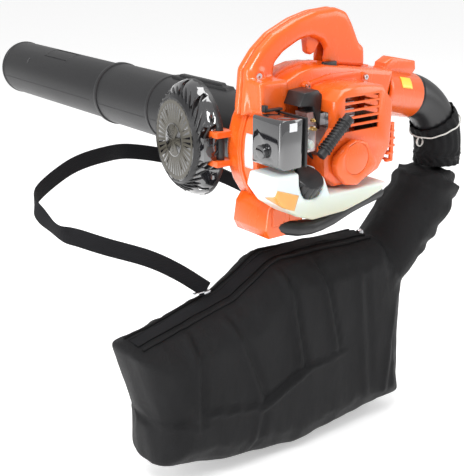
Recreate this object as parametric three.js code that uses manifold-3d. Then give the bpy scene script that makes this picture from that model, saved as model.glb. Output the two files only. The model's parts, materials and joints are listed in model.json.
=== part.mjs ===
// A hand-held petrol leaf blower in its vacuum form, with its suction tube, elbow and leaf bag fitted.
// Millimetres. +Z is up, +X is the way the air leaves the fan, +Y points along the suction tube and
// -Y is the engine side. The pieces are laid out from the crank axis, which is the line X = 0, Z = 0,
// and the whole is then moved so that the middle of the hand grip is at the origin.
import * as THREE from "three";
import { mergeVertices } from "three/addons/utils/BufferGeometryUtils.js";
import Module from "manifold-3d";

const wasm = await Module();
wasm.setup();

// ---------------------------------------------------------------- driving dimensions
const gap = 0.3; // between pieces that touch
const wall = 3; // moulded casings
const splitY = -4; // middle plane of the fan case, the handle and the outlet

// fan case
const caseWidth = 76;
const caseTongueRadius = 99;
const caseTopRadius = 127;
const caseEdge = 9;
const caseFront = splitY - caseWidth / 2; // engine side face
const caseBack = splitY + caseWidth / 2; // intake side face

// outlet and elbow
const outletTilt = THREE.MathUtils.degToRad(12);
const outletRadius = 38;
const outletLength = 82;
const outletEnd = new THREE.Vector3(238, splitY, 49);
const elbowBend = 104;
const elbowSink = 26;
const elbowDrop = 22;

// suction tube
const nearTubeRadius = 58;
const farTubeRadius = 55;
const tubeWall = 2.5;
const nearTubeLength = 500;
const farTubeLength = 455;
const tubeLap = 55;
const intakeRadius = nearTubeRadius - tubeWall - 3 * gap; // the collar that the near tube slides over

// intake guard
const guardRimRadius = 93;
const guardFaceRadius = 66;
const guardDepth = 40;
const guardHubRadius = 27;
const guardSlots = 12;
const guardVents = 10;
const guardOpenAngle = THREE.MathUtils.degToRad(82);
const guardHinge = new THREE.Vector3(-138, caseBack + 6, 4);

// handle
const handleWidth = 34;
const gripMiddle = [12, splitY, 184];

// engine
const shroudFront = -116;
const cylinderBore = 34;
const cylinderFins = 4;
const finRadius = 25;
const crankPin = 7;
const strokeLength = 28;
const rodLength = 52;
const crankRadius = strokeLength / 2;
const shaftRadius = 6;
const flywheelRadius = 37;
const impellerRadius = 88;
const impellerBlades = 10;
const starterOpening = 17;
const badgeRadius = 24;

// fuel system
const capRadius = 23;
const capHeight = 24;

// bag and strap
const bagThickness = 130;
const bagEdge = 38;
const neckRadius = 43;
const neckWideRadius = 60;
const cuffLength = 62;
const strapWidth = 26;
const strapThick = 2.4;

// ---------------------------------------------------------------- solids
function solid(geometry) {
  const bare = geometry.index ? geometry.toNonIndexed() : geometry.clone();
  bare.deleteAttribute("normal");
  bare.deleteAttribute("uv");
  const merged = mergeVertices(bare, 1e-4);
  const made = new wasm.Manifold(
    new wasm.Mesh({
      numProp: 3,
      vertProperties: new Float32Array(merged.attributes.position.array),
      triVerts: new Uint32Array(merged.index.array),
    }),
  );
  return made;
}

function geometryOf(made) {
  const mesh = made.getMesh();
  const positions = new Float32Array(mesh.numVert * 3);
  for (let i = 0; i < mesh.numVert; i += 1) {
    positions.set(mesh.vertProperties.subarray(i * mesh.numProp, i * mesh.numProp + 3), i * 3);
  }
  const geometry = new THREE.BufferGeometry();
  geometry.setAttribute("position", new THREE.BufferAttribute(positions, 3));
  geometry.setIndex(new THREE.BufferAttribute(new Uint32Array(mesh.triVerts), 1));
  return geometry;
}

const join = (...pieces) => pieces.reduce((whole, piece) => whole.add(piece));
const cut = (base, ...tools) => tools.reduce((left, tool) => left.subtract(tool), base);

// A box between two corners.
function block(x0, x1, y0, y1, z0, z1) {
  const geometry = new THREE.BoxGeometry(x1 - x0, y1 - y0, z1 - z0);
  geometry.translate((x0 + x1) / 2, (y0 + y1) / 2, (z0 + z1) / 2);
  return solid(geometry);
}

// A round bar between two points.
function bar(from, to, radius, sides = 20, endRadius = radius) {
  const a = new THREE.Vector3(...from);
  const b = new THREE.Vector3(...to);
  const along = b.clone().sub(a);
  const geometry = new THREE.CylinderGeometry(endRadius, radius, along.length(), sides);
  const turn = new THREE.Quaternion().setFromUnitVectors(new THREE.Vector3(0, 1, 0), along.normalize());
  geometry.applyQuaternion(turn);
  geometry.translate((a.x + b.x) / 2, (a.y + b.y) / 2, (a.z + b.z) / 2);
  return solid(geometry);
}

// A closed ring turned about the Y axis; each point of the section is [radius, y].
function turned(section, sides = 48) {
  const points = section.map(([radius, y]) => new THREE.Vector2(radius, y));
  if (section[0][0] > 0) points.push(points[0].clone());
  let made = solid(new THREE.LatheGeometry(points, sides));
  if (made.volume() < 0) made = solid(new THREE.LatheGeometry(points.reverse(), sides));
  return made;
}

// An outline of [x, z] points drawn out along Y, with its edges rounded by a bevel.
function slab(outline, y0, y1, bevel = 0, holes = [], steps = 2) {
  const shape = new THREE.Shape(outline.map(([x, z]) => new THREE.Vector2(x, z)));
  holes.forEach((hole) => shape.holes.push(new THREE.Path(hole.map(([x, z]) => new THREE.Vector2(x, z)))));
  const geometry = new THREE.ExtrudeGeometry(shape, {
    depth: y1 - y0 - 2 * bevel,
    bevelEnabled: bevel > 0,
    bevelThickness: bevel,
    bevelSize: bevel,
    bevelOffset: -bevel,
    bevelSegments: steps,
  });
  geometry.rotateX(Math.PI / 2);
  geometry.translate(0, y1 - bevel, 0);
  return solid(geometry);
}

// The same, for an outline of [y, z] points drawn out along X.
function slabAcross(outline, x0, x1, bevel = 0, steps = 2) {
  const made = slab(outline.map(([y, z]) => [y, z]), -x1, -x0, bevel, [], steps);
  return made.rotate([0, 0, 90]);
}

// A tube of round or given section along a smooth route.
function swept(points, section, steps, closed = false) {
  const route = new THREE.CatmullRomCurve3(points.map((p) => new THREE.Vector3(...p)), closed);
  const shape = new THREE.Shape(section.map(([a, b]) => new THREE.Vector2(a, b)));
  return solid(new THREE.ExtrudeGeometry(shape, { extrudePath: route, steps }));
}

function ring(radius, sides) {
  const points = [];
  for (let i = 0; i < sides; i += 1) {
    const angle = (2 * Math.PI * i) / sides;
    points.push([radius * Math.cos(angle), radius * Math.sin(angle)]);
  }
  return points;
}

// ---------------------------------------------------------------- the assembly
const blower = new THREE.Group();
const materials = {
  orange: { color: 0xe85412, roughness: 0.32, metalness: 0 },
  black: { color: 0x151515, roughness: 0.45, metalness: 0 },
  gloss: { color: 0x101010, roughness: 0.18, metalness: 0 },
  silver: { color: 0xb9bcc0, roughness: 0.35, metalness: 1 },
  steel: { color: 0x8a8d90, roughness: 0.3, metalness: 1 },
  dark: { color: 0x2a2b2d, roughness: 0.6, metalness: 0.4 },
  milky: { color: 0xe9e9e2, roughness: 0.4, metalness: 0 },
  fabric: { color: 0x1a1a1b, roughness: 0.9, metalness: 0 },
  foam: { color: 0x3a3a38, roughness: 0.95, metalness: 0 },
  brass: { color: 0xb08d3c, roughness: 0.35, metalness: 1 },
};

function add(name, made, look, parent = blower) {
  const mesh = new THREE.Mesh(geometryOf(made), new THREE.MeshStandardMaterial(materials[look]));
  mesh.name = name;
  parent.add(mesh);
  return mesh;
}

// ---------------------------------------------------------------- fan case
// The case is a scroll that opens out from its tongue, below the outlet, round to the top.
const outletAlong = new THREE.Vector3(Math.cos(outletTilt), 0, -Math.sin(outletTilt));
const outletUp = new THREE.Vector3(Math.sin(outletTilt), 0, Math.cos(outletTilt));

// A place on the outlet: how far before its end, how far up and how far to the side.
function onOutlet(before, up, side = 0) {
  const place = outletEnd.clone().addScaledVector(outletAlong, -before).addScaledVector(outletUp, up);
  return [place.x, place.y + side, place.z];
}

const tongueAngle = THREE.MathUtils.degToRad(14);
const topAngle = THREE.MathUtils.degToRad(82);
const scrollSweep = 2 * Math.PI - (topAngle - tongueAngle);

function scrollRadius(turn) {
  return caseTongueRadius + (caseTopRadius - caseTongueRadius) * (turn / scrollSweep) ** 0.75;
}

function scrollOutline(inset, steps = 24) {
  const points = [];
  for (let i = 0; i <= steps; i += 1) {
    const turn = (scrollSweep * i) / steps;
    const radius = scrollRadius(turn) - inset;
    const angle = tongueAngle - turn;
    points.push([radius * Math.cos(angle), radius * Math.sin(angle)]);
  }
  const topStart = onOutlet(outletLength + gap, outletRadius - inset);
  const bottomStart = onOutlet(outletLength + gap, inset - outletRadius);
  points.push([topStart[0], topStart[2]]);
  points.push([bottomStart[0], bottomStart[2]]);
  return points.reverse();
}

const stopSwitchAt = [34, -29, 124];
const stopSwitchTravel = 4;
const stopSwitchRadius = 5;

function stopSwitchPart(length, radius, z0, z1) {
  const [x, y] = stopSwitchAt;
  return join(
    block(x - length / 2, x + length / 2, y - radius, y + radius, z0, z1),
    bar([x - length / 2, y, z0], [x - length / 2, y, z1], radius, 16),
    bar([x + length / 2, y, z0], [x + length / 2, y, z1], radius, 16),
  );
}

const caseOuter = slab(scrollOutline(0), caseFront, caseBack, caseEdge);
const mouthBore = bar(
  onOutlet(outletLength + 60, 0), onOutlet(outletLength - 20, 0), outletRadius - wall, 28,
);
const caseInner = slab(scrollOutline(wall), caseFront + wall, caseBack - wall, caseEdge).intersect(
  block(-200, outletEnd.x - outletLength - 14, caseFront, caseBack, -200, 200),
);
const caseShell = cut(
  caseOuter,
  join(caseInner, mouthBore),
  bar([0, caseBack - 2 * wall - caseEdge, 0], [0, caseBack + 1, 0], intakeRadius - wall, 48),
  bar([0, caseFront - 1, 0], [0, caseFront + 2 * wall, 0], shaftRadius + 12, 32),
);
const hingeRadius = 3;
const lugRise = 18;
const lugHeight = 9;

function lug(z) {
  const arm = block(guardHinge.x - 6, guardHinge.x + 26, caseBack - 14, guardHinge.y + 6, z, z + lugHeight);
  const eye = bar(
    [guardHinge.x, guardHinge.y, z - 1], [guardHinge.x, guardHinge.y, z + lugHeight + 1],
    hingeRadius + gap, 16,
  );
  return cut(arm, eye);
}

const lugs = join(
  lug(guardHinge.z + lugRise),
  lug(guardHinge.z - lugRise - lugHeight),
);
const intakeCollar = turned(
  [
    [intakeRadius, caseBack - wall],
    [intakeRadius, caseBack + 14],
    [intakeRadius - wall, caseBack + 14],
    [intakeRadius - wall, caseBack - wall],
  ],
  48,
);
const inletSide = block(-260, 260, splitY + gap / 2, caseBack + 60, -260, 260);
const engineSide = block(-260, 260, caseFront - 60, splitY - gap / 2, -260, 260);
const seamFlange = cut(
  slab(scrollOutline(-3), splitY - 5, splitY + 5, 0),
  slab(scrollOutline(1), splitY - 6, splitY + 6, 0),
  block(outletEnd.x - outletLength - 18, 300, -80, 80, -200, 200),
);
const footSeatCut = block(-150, -36, caseFront - 2, caseBack + 2, -140, -117);
const inletHalf = join(
  caseShell.intersect(inletSide), cut(lugs, slab(scrollOutline(1), caseFront, caseBack, caseEdge)),
  intakeCollar,
);
const switchSlot = stopSwitchPart(
  18 + 2 * stopSwitchTravel + 2, stopSwitchRadius + gap, stopSwitchAt[2] - 14, stopSwitchAt[2] + 10,
);
const engineHalf = cut(caseShell.intersect(engineSide), switchSlot);
add("fan_case_intake_half", cut(join(inletHalf, seamFlange.intersect(inletSide)), footSeatCut), "orange");
add("fan_case_engine_half", cut(join(engineHalf, seamFlange.intersect(engineSide)), footSeatCut), "orange");

// outlet spout with its joining ring and the lock hump on top
const spout = cut(
  join(
    bar(onOutlet(outletLength, 0), onOutlet(0, 0), outletRadius, 28),
    bar(onOutlet(outletLength, 0), onOutlet(outletLength - 7, 0), outletRadius + 2.5, 28),
  ),
  bar(onOutlet(outletLength + 1, 0), onOutlet(-1, 0), outletRadius - wall, 28),
);
const humpProfile = [[-12, 0], [56, 0], [62, 11], [57, 24], [4, 24], [-12, 12]];
const humpGeometry = slab(
  humpProfile.map(([s, u]) => {
    const place = onOutlet(68 - s, outletRadius - 4 + u);
    return [place[0], place[2]];
  }).reverse(),
  splitY - 13,
  splitY + 13,
  2.5,
);
add(
  "outlet_spout",
  join(
    spout, cut(humpGeometry, bar(onOutlet(outletLength + 40, 0), onOutlet(-5, 0), outletRadius - 1, 28)),
  ),
  "orange",
);

// ---------------------------------------------------------------- foot and stand
const caseClear = join(
  slab(scrollOutline(-gap), caseFront - gap, caseBack + gap, caseEdge),
  slab(scrollOutline(-3 - gap), splitY - 5 - gap, splitY + 5 + gap, 0),
);
const footOutline = [
  [-92, -58], [-108, -78], [-113, -110], [-106, -124], [-40, -124], [-40, -100], [-66, -66],
];
const standRoute = [[-92, -46, -106], [-46, -60, -117], [0, -61, -115], [60, -60, -98], [124, -58, -86]];
const standRadius = 13;
const standBar = swept(standRoute, ring(standRadius, 12), 10);
const standSocket = swept(standRoute, ring(standRadius + gap, 12), 10);
add(
  "foot",
  cut(slab(footOutline, caseFront - 19, caseBack - 11, 4), caseClear, standSocket),
  "orange",
);
add("stand_bow", cut(standBar, caseClear), "black");

// ---------------------------------------------------------------- handle
const handleOutline = [
  [-122, 60], [-118, 101], [-116, 128], [-94, 155], [-66, 177], [-24, 195], [12, 204], [56, 207],
  [79, 199], [92, 180], [108, 149], [119, 142], [121, 95], [31, 100], [35, 146], [26, 158],
  [5, 166], [-16, 163], [-48, 148], [-65, 133], [-68, 112], [-58, 60],
].reverse();
const tongueOutline = [[-116, 112], [-114, 68], [-99, 46], [-88, 46], [-64, 70], [-64, 112]].reverse();
const handleBar = cut(
  join(
    slab(handleOutline, splitY - handleWidth / 2, splitY + handleWidth / 2, 8),
    slab(tongueOutline, caseFront - 7, splitY, 3),
  ),
  caseClear,
);
const triggerPivot = [50, splitY, 176];
const triggerWidth = 15;
const triggerSlot = block(
  -6, 60, splitY - triggerWidth / 2 - gap, splitY + triggerWidth / 2 + gap, 120, 190,
);
const pinRadius = 2.5;
const triggerEye = bar(
  [triggerPivot[0], splitY - 12, triggerPivot[2]], [triggerPivot[0], splitY + 12, triggerPivot[2]],
  pinRadius + gap, 14,
);
const screwBoss = bar([-99, splitY - handleWidth / 2 - 4, 117], [-99, splitY - 6, 117], 11, 24);
const screwHole = bar([-99, splitY - 40, 117], [-99, splitY - handleWidth / 2 + 1, 117], 6.5, 20);
const handleBody = cut(join(handleBar, screwBoss), triggerSlot, triggerEye, screwHole);
add("handle_intake_half", handleBody.intersect(inletSide), "orange");
add("handle_engine_half", handleBody.intersect(engineSide), "orange");
const triggerOutline = [
  [54, 182], [42, 184], [2, 177], [2, 166], [6, 142], [12, 138], [20, 141], [32, 158], [54, 170],
].reverse();
add(
  "throttle_trigger",
  cut(slab(triggerOutline, splitY - triggerWidth / 2, splitY + triggerWidth / 2, 2), triggerEye),
  "orange",
);
add(
  "trigger_pin",
  bar(
    [triggerPivot[0], splitY - 11.5, triggerPivot[2]], [triggerPivot[0], splitY + 11.5, triggerPivot[2]],
    pinRadius, 14,
  ),
  "steel",
);

// ---------------------------------------------------------------- suction tube
const tubeStart = caseBack + gap;
const nearTubeEnd = tubeStart + nearTubeLength;
const farTubeStart = nearTubeEnd - tubeLap;
const farTubeEnd = farTubeStart + farTubeLength;

function pipe(radius, thickness, y0, y1, bands = []) {
  const section = [[radius - thickness, y0], [radius, y0]];
  bands.forEach(([from, to, rise]) => {
    section.push([radius, from], [radius + rise, from + 1], [radius + rise, to - 1], [radius, to]);
  });
  section.push([radius, y1], [radius - thickness, y1]);
  return turned(section, 28);
}

const rail = join(
  block(-8, 8, 176, 336, nearTubeRadius - 2, nearTubeRadius + 5),
  block(-5, 5, 190, 322, nearTubeRadius + 4, nearTubeRadius + 9),
);
const nearTube = join(
  pipe(
    nearTubeRadius, tubeWall, tubeStart, nearTubeEnd,
    [[345, 353, 1.6], [nearTubeEnd - 12, nearTubeEnd - 2, 2.4]],
  ),
  cut(rail, bar([0, 0, 0], [0, 700, 0], nearTubeRadius - 1, 40)),
);
add("near_tube", nearTube, "black");
const farFit = nearTubeRadius - tubeWall - 3 * gap;
const farNeck = Math.min(farFit, farTubeRadius) - tubeWall;
const farShoulder = Math.max(farFit, farTubeRadius);
const farTube = join(
  turned(
    [
      [farNeck, nearTubeEnd + 16], [farShoulder, nearTubeEnd + 16], [farShoulder, nearTubeEnd + 19],
      [farNeck, nearTubeEnd + 19],
    ],
    28,
  ),
  pipe(farFit, tubeWall, farTubeStart, nearTubeEnd + 20),
  pipe(farTubeRadius, tubeWall, nearTubeEnd + 18, farTubeEnd, [[farTubeEnd - 10, farTubeEnd - 3, 1.2]]),
);
add("far_tube", farTube, "black");

// ---------------------------------------------------------------- intake guard, swung open on its hinge
const guardReach = 78; // hinge to the middle of the rim
const guardSeat = -13; // rim plane behind the hinge
const guardGroup = new THREE.Group();
guardGroup.position.copy(guardHinge);
guardGroup.rotation.z = guardOpenAngle;
blower.add(guardGroup);

function guardSolid() {
  const skin = turned(
    [
      [guardRimRadius - wall, 0],
      [guardRimRadius, 0],
      [guardRimRadius, 6],
      [guardRimRadius - 5, 20],
      [guardFaceRadius + 6, guardDepth - 6],
      [guardFaceRadius, guardDepth],
      [guardHubRadius - 6, guardDepth],
      [guardHubRadius - 6, guardDepth - wall],
      [guardFaceRadius - 2, guardDepth - wall],
      [guardRimRadius - 8, 18],
      [guardRimRadius - wall, 6],
    ],
    32,
  );
  const hub = bar([0, guardDepth - 6, 0], [0, guardDepth + 1.5, 0], guardHubRadius, 20);
  const slots = [];
  for (let i = 0; i < guardSlots; i += 1) {
    const face = new THREE.BoxGeometry(20, wall * 4, 4.4);
    face.translate(guardHubRadius + 13, guardDepth, 0);
    face.rotateY((2 * Math.PI * i) / guardSlots);
    slots.push(solid(face));
  }
  for (let i = 0; i < guardVents; i += 1) {
    const side = new THREE.BoxGeometry(34, 26, 9);
    side.rotateZ(-1.05);
    side.rotateX(0.42);
    side.translate(guardRimRadius - 11, guardDepth / 2 + 2, 0);
    side.rotateY((2 * Math.PI * (i + 0.5)) / guardVents);
    slots.push(solid(side));
  }
  return cut(join(skin, hub), ...slots);
}

const guardShape = guardSolid().translate([guardReach, guardSeat, 0]);
const knuckle = block(-9, 12, -7, 20, -lugRise + gap, lugRise - gap);
const knuckleBore = bar([0, 0, -60], [0, 0, 60], hingeRadius + gap, 16);
const lugRelief = block(-40, 16, guardSeat - 2, 13, -lugRise - lugHeight - 6, lugRise + lugHeight + 6);
add("intake_guard", cut(join(cut(guardShape, lugRelief), knuckle), knuckleBore), "gloss", guardGroup);
const pinLength = lugRise + lugHeight + 2;
add("guard_hinge_pin", bar([0, 0, -pinLength], [0, 0, pinLength], hingeRadius, 14), "steel", guardGroup);

// ---------------------------------------------------------------- elbow
const bendCentre = outletEnd.clone().addScaledVector(outletUp, -elbowBend);
const bendStart = Math.PI / 2 - outletTilt;

function elbowRoute(from, to, steps) {
  // 0 to 1 runs round the bend, past 1 it drops straight down
  const points = [];
  for (let i = 0; i <= steps; i += 1) {
    const t = from + ((to - from) * i) / steps;
    if (t <= 1) {
      const angle = bendStart * (1 - t);
      points.push([
        bendCentre.x + elbowBend * Math.cos(angle), splitY, bendCentre.z + elbowBend * Math.sin(angle),
      ]);
    } else {
      points.push([bendCentre.x + elbowBend, splitY, bendCentre.z - elbowDrop * (t - 1)]);
    }
  }
  return points;
}

const elbowRadius = outletRadius - 2;
const elbowWall = 2.5;
const spigotRadius = outletRadius - wall - gap;
const elbowSkin = join(
  cut(
    swept([onOutlet(2, 0), onOutlet(0, 0), ...elbowRoute(0.06, 2, 9)], ring(elbowRadius, 18), 10),
    bar(onOutlet(40, 0), onOutlet(-gap, 0), 2 * outletRadius, 24),
  ),
  bar(onOutlet(elbowSink, 0), onOutlet(-4, 0), spigotRadius, 20),
);
const elbowBore = swept(
  [onOutlet(elbowSink + 2, 0), onOutlet(0, 0), ...elbowRoute(0.06, 2.1, 9)],
  ring(elbowRadius - elbowWall - 1.2, 16), 10,
);
add("elbow", cut(elbowSkin, elbowBore), "black");

// ---------------------------------------------------------------- bag
const cuffOutside = elbowRadius + 6;
const cuffStart = 1 - cuffLength / (elbowBend * bendStart);
const cuff = cut(
  swept(elbowRoute(cuffStart, 2.2, 6), ring(cuffOutside, 16), 6),
  swept(elbowRoute(cuffStart - 0.1, 2.4, 8), ring(elbowRadius + 2, 20), 8),
);
add("bag_cuff", cuff, "fabric");
const neckTop = [bendCentre.x + elbowBend, splitY, bendCentre.z - elbowDrop * 1.2 - gap];
const bagOutline = [
  [-346, -262], [-155, -211], [-68, -164], [150, -170], [208, -262],
  [212, -484], [-40, -508], [-170, -492], [-312, -460], [-312, -380],
].reverse();
const bagBody = slab(bagOutline, splitY - bagThickness / 2, splitY + bagThickness / 2, bagEdge, [], 3);
const neckRoute = [
  neckTop, [neckTop[0] - 6, splitY, -90], [neckTop[0] - 26, splitY, -135], [neckTop[0] - 66, splitY, -184],
  [160, splitY, -262],
];
const neckWideRoute = [
  [neckTop[0] - 12, splitY, -96], [neckTop[0] - 40, splitY, -140], [neckTop[0] - 90, splitY, -190],
  [150, splitY, -262],
];
const bagNeck = join(
  swept(neckRoute, ring(neckRadius, 14), 7), swept(neckWideRoute, ring(neckWideRadius, 14), 5),
);
add("bag", join(bagBody, cut(bagNeck, block(200, 400, -80, 80, neckTop[2] - gap, 0))), "fabric");

// ---------------------------------------------------------------- engine
const caseGap = caseFront - gap;

function inset(outline, by) {
  // every side of the outline moved inwards by the same distance
  const count = outline.length;
  const lines = outline.map(([x0, z0], i) => {
    const [x1, z1] = outline[(i + 1) % count];
    const long = Math.hypot(x1 - x0, z1 - z0);
    const nx = -(z1 - z0) / long;
    const nz = (x1 - x0) / long;
    return { nx, nz, d: nx * x0 + nz * z0 + by };
  });
  return lines.map((line, i) => {
    const before = lines[(i + count - 1) % count];
    const det = before.nx * line.nz - line.nx * before.nz;
    return [
      (before.d * line.nz - line.d * before.nz) / det, (before.nx * line.d - line.nx * before.d) / det,
    ];
  });
}

const shroudOutline = [
  [-50, -24], [-26, -43], [30, -43], [64, -30], [88, 4], [90, 74], [68, 100], [16, 105], [
    -14, 100,
  ], [-31, 86], [-30, 46], [-52, 18],
];
const flangeOutline = [
  [-54, -30], [
    -26, -56,
  ], [34, -56], [72, -38], [97, 4], [110, 78], [104, 98], [76, 111], [20, 112], [
    -16, 105,
  ], [-38, 86], [-38, 50], [-58, 20],
];
const shroudScrews = [[-27, 99], [92, 101]];
const screwRadius = 2;
const crankcaseFront = -92;
const flywheelBack = crankcaseFront - 2;
const louvres = [];
for (let i = 0; i < 5; i += 1) {
  const z = 38 + 11 * i;
  louvres.push(block(-12, 58, shroudFront - 6, shroudFront + 12, z, z + 7.5));
  louvres.push(block(70, 96, shroudFront + 14, caseFront - 14, z - 10, z - 2.5));
}
const pullAlong = new THREE.Vector3(-0.514, -0.6475, 0.5627).normalize();
const gripAlong = new THREE.Vector3(0.738, 0, 0.674).normalize();
const ropeEye = new THREE.Vector3(-33, shroudFront, 26);
const gripCentre = ropeEye.clone().addScaledVector(pullAlong, 23);
const ropeRadius = 1.7;
const onGrip = (along, pull) => gripCentre.clone().addScaledVector(
  gripAlong, along,
).addScaledVector(pullAlong, pull).toArray();
const ropeHole = bar(onGrip(0, -12), onGrip(0, -60), ropeRadius + 1.5, 12);
const screwAt = (y0, y1, radius, sides = 16) => shroudScrews.map(([x, z]) => bar(
  [x, y0, z], [x, y1, z], radius, sides,
));
const shroud = cut(
  join(
    slab(shroudOutline, shroudFront, caseGap, 7),
    slab(flangeOutline, caseGap - 5, caseGap, 0),
    ...screwAt(caseGap - 7, caseGap, 7),
  ),
  slab(inset(shroudOutline, wall), shroudFront + wall, caseGap + 9, 4, [], 1),
  bar([0, shroudFront - 1, 0], [0, shroudFront + 10, 0], starterOpening, 24),
  block(-60, -26, shroudFront + 16, caseGap - 8, 6, 68),
  block(80, 92, shroudFront + 14, caseGap - 12, -16, 24),
  ...louvres,
  ropeHole,
  ...screwAt(caseGap - 20, caseFront, screwRadius + gap),
);
add("engine_shroud", shroud, "orange");

const cageBars = [];
for (let i = 0; i < 6; i += 1) {
  const z = -22 + 11.5 * i;
  const reach = 101 - Math.abs(i - 2.5) * 2;
  cageBars.push(
    cut(
      slab([[84, z], [reach, z], [reach, z + 3.4], [84, z + 3.4]], shroudFront + 4, caseGap - 10, 0),
      block(80, reach - 5, shroudFront + 10, caseGap - 16, z - 1, z + 5),
    ),
  );
}
const cagePosts = [shroudFront + 5, -82, caseGap - 15].map((y) => block(92, 98, y, y + 4, -22, 39));
const besideShroud = slab(inset(shroudOutline, -gap), shroudFront, caseGap, 0);
add("exhaust_guard", cut(join(...cageBars, ...cagePosts), besideShroud), "orange");

const starterOutline = [
  [-40, -6], [-36, -20], [-18, -38], [4, -42], [40, -22], [46, -12], [22, 23], [0, 28], [-19, 20], [-36, 7],
];
const coverFront = shroudFront - gap - 16;
const badgeRecess = bar([0, coverFront - 1, 0], [0, coverFront + 2, 0], badgeRadius + gap, 32);
const starterCover = cut(
  slab(starterOutline, coverFront, shroudFront - gap, 5),
  slab(inset(starterOutline, wall + 1), coverFront + wall + 2, shroudFront + 4, 0),
  badgeRecess,
  bar(onGrip(0, -12), onGrip(0, -60), ropeRadius + 1.5, 12),
);
add("starter_cover", starterCover, "orange");
add(
  "starter_badge", bar([0, coverFront + 0.4, 0], [0, coverFront + 2 - gap, 0], badgeRadius, 28), "orange",
);

// crankcase, cylinder and what turns and slides inside them
const cylinderAxisY = -70.5;
const crankcase = cut(
  join(
    bar([0, crankcaseFront, 0], [0, caseGap - 5.6, 0], 34, 24),
    block(-24, 24, -88, -54, 20, 38),
  ),
  bar([0, crankcaseFront + 5, 0], [0, caseGap - 11, 0], 30, 24),
  bar([0, -120, 0], [0, 0, 0], 10.3, 24),
  bar([0, cylinderAxisY, 20], [0, cylinderAxisY, 60], cylinderBore / 2 + gap, 24),
);
add("crankcase", crankcase, "silver");
const cylinderFoot = 38 + gap;
const head = 80;
const finPitch = 10.4;
const finPieces = [];
for (let i = 0; i < cylinderFins; i += 1) {
  const z = cylinderFoot + 6 + i * finPitch;
  finPieces.push(block(-finRadius, finRadius, cylinderAxisY - 26, cylinderAxisY + 26, z, z + 2.6));
}
add(
  "cylinder",
  cut(
    join(
      bar([0, cylinderAxisY, cylinderFoot], [0, cylinderAxisY, head + 6], cylinderBore / 2 + 4, 24),
      block(-23, 23, cylinderAxisY - 17, cylinderAxisY + 17, cylinderFoot, cylinderFoot + 4),
      block(18, 40, cylinderAxisY - 12, cylinderAxisY + 12, 44, 62),
      block(-44, -20, cylinderAxisY - 12, cylinderAxisY + 12, 46, 64),
      ...finPieces,
    ),
    bar([0, cylinderAxisY, cylinderFoot - 1], [0, cylinderAxisY, head], cylinderBore / 2, 24),
    bar([0, cylinderAxisY, 53], [60, cylinderAxisY, 53], 7, 16),
    bar([0, cylinderAxisY, 55], [-60, cylinderAxisY, 55], 7, 16),
    bar([0, cylinderAxisY, head - 1], [0, cylinderAxisY, head + 20], 4.3, 16),
  ),
  "dark",
);
const pistonPinZ = crankRadius + rodLength;
const pinReach = cylinderBore / 2 - 2;
add(
  "piston",
  cut(
    bar(
      [0, cylinderAxisY, pistonPinZ - 12], [0, cylinderAxisY, pistonPinZ + 12], cylinderBore / 2 - gap, 24,
    ),
    block(-12, 12, cylinderAxisY - 5.6, cylinderAxisY + 5.6, pistonPinZ - 20, pistonPinZ + 8),
    bar([0, cylinderAxisY - 20, pistonPinZ], [0, cylinderAxisY + 20, pistonPinZ], 4.3, 16),
  ),
  "silver",
);
add(
  "piston_pin",
  bar([0, cylinderAxisY - pinReach, pistonPinZ], [0, cylinderAxisY + pinReach, pistonPinZ], 4, 16),
  "steel",
);
add(
  "connecting_rod",
  cut(
    join(
      bar([0, cylinderAxisY - 4.6, crankRadius], [0, cylinderAxisY + 4.6, crankRadius], crankPin + 4, 24),
      bar([0, cylinderAxisY - 4.6, pistonPinZ], [0, cylinderAxisY + 4.6, pistonPinZ], 7.5, 20),
      block(-3.5, 3.5, cylinderAxisY - 3, cylinderAxisY + 3, crankRadius + 8, pistonPinZ - 6),
    ),
    bar([0, cylinderAxisY - 9, crankRadius], [0, cylinderAxisY + 9, crankRadius], crankPin + gap, 20),
    bar([0, cylinderAxisY - 9, pistonPinZ], [0, cylinderAxisY + 9, pistonPinZ], 4.3, 16),
  ),
  "steel",
);
add(
  "crank_pin",
  bar([0, cylinderAxisY - 4.6, crankRadius], [0, cylinderAxisY + 4.6, crankRadius], crankPin, 20), "steel",
);

const webNear = cylinderAxisY - 5;
const webFar = cylinderAxisY + 5;
const webRadius = 25;
const impellerBack = caseFront + wall + 5;
const impellerFront = caseBack - wall - 10;
add(
  "crankshaft_starter_side",
  join(
    bar([0, webNear - 7, 0], [0, webNear, 0], webRadius, 24),
    bar([0, shroudFront + 6, 0], [0, webNear - 6, 0], shaftRadius, 20),
  ),
  "steel",
);
add(
  "crankshaft_fan_side",
  join(
    bar([0, webFar, 0], [0, webFar + 7, 0], webRadius, 24),
    bar([0, webFar + 6, 0], [0, impellerFront - 4, 0], shaftRadius, 20),
  ),
  "steel",
);

function bearing(y0, y1) {
  return turned([[shaftRadius + gap, y0], [10, y0], [10, y1], [shaftRadius + gap, y1]], 24);
}
add("bearing_starter_side", bearing(crankcaseFront, crankcaseFront + 5), "steel");
add("bearing_fan_side", bearing(caseGap - 11, caseGap - 6), "steel");

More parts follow.
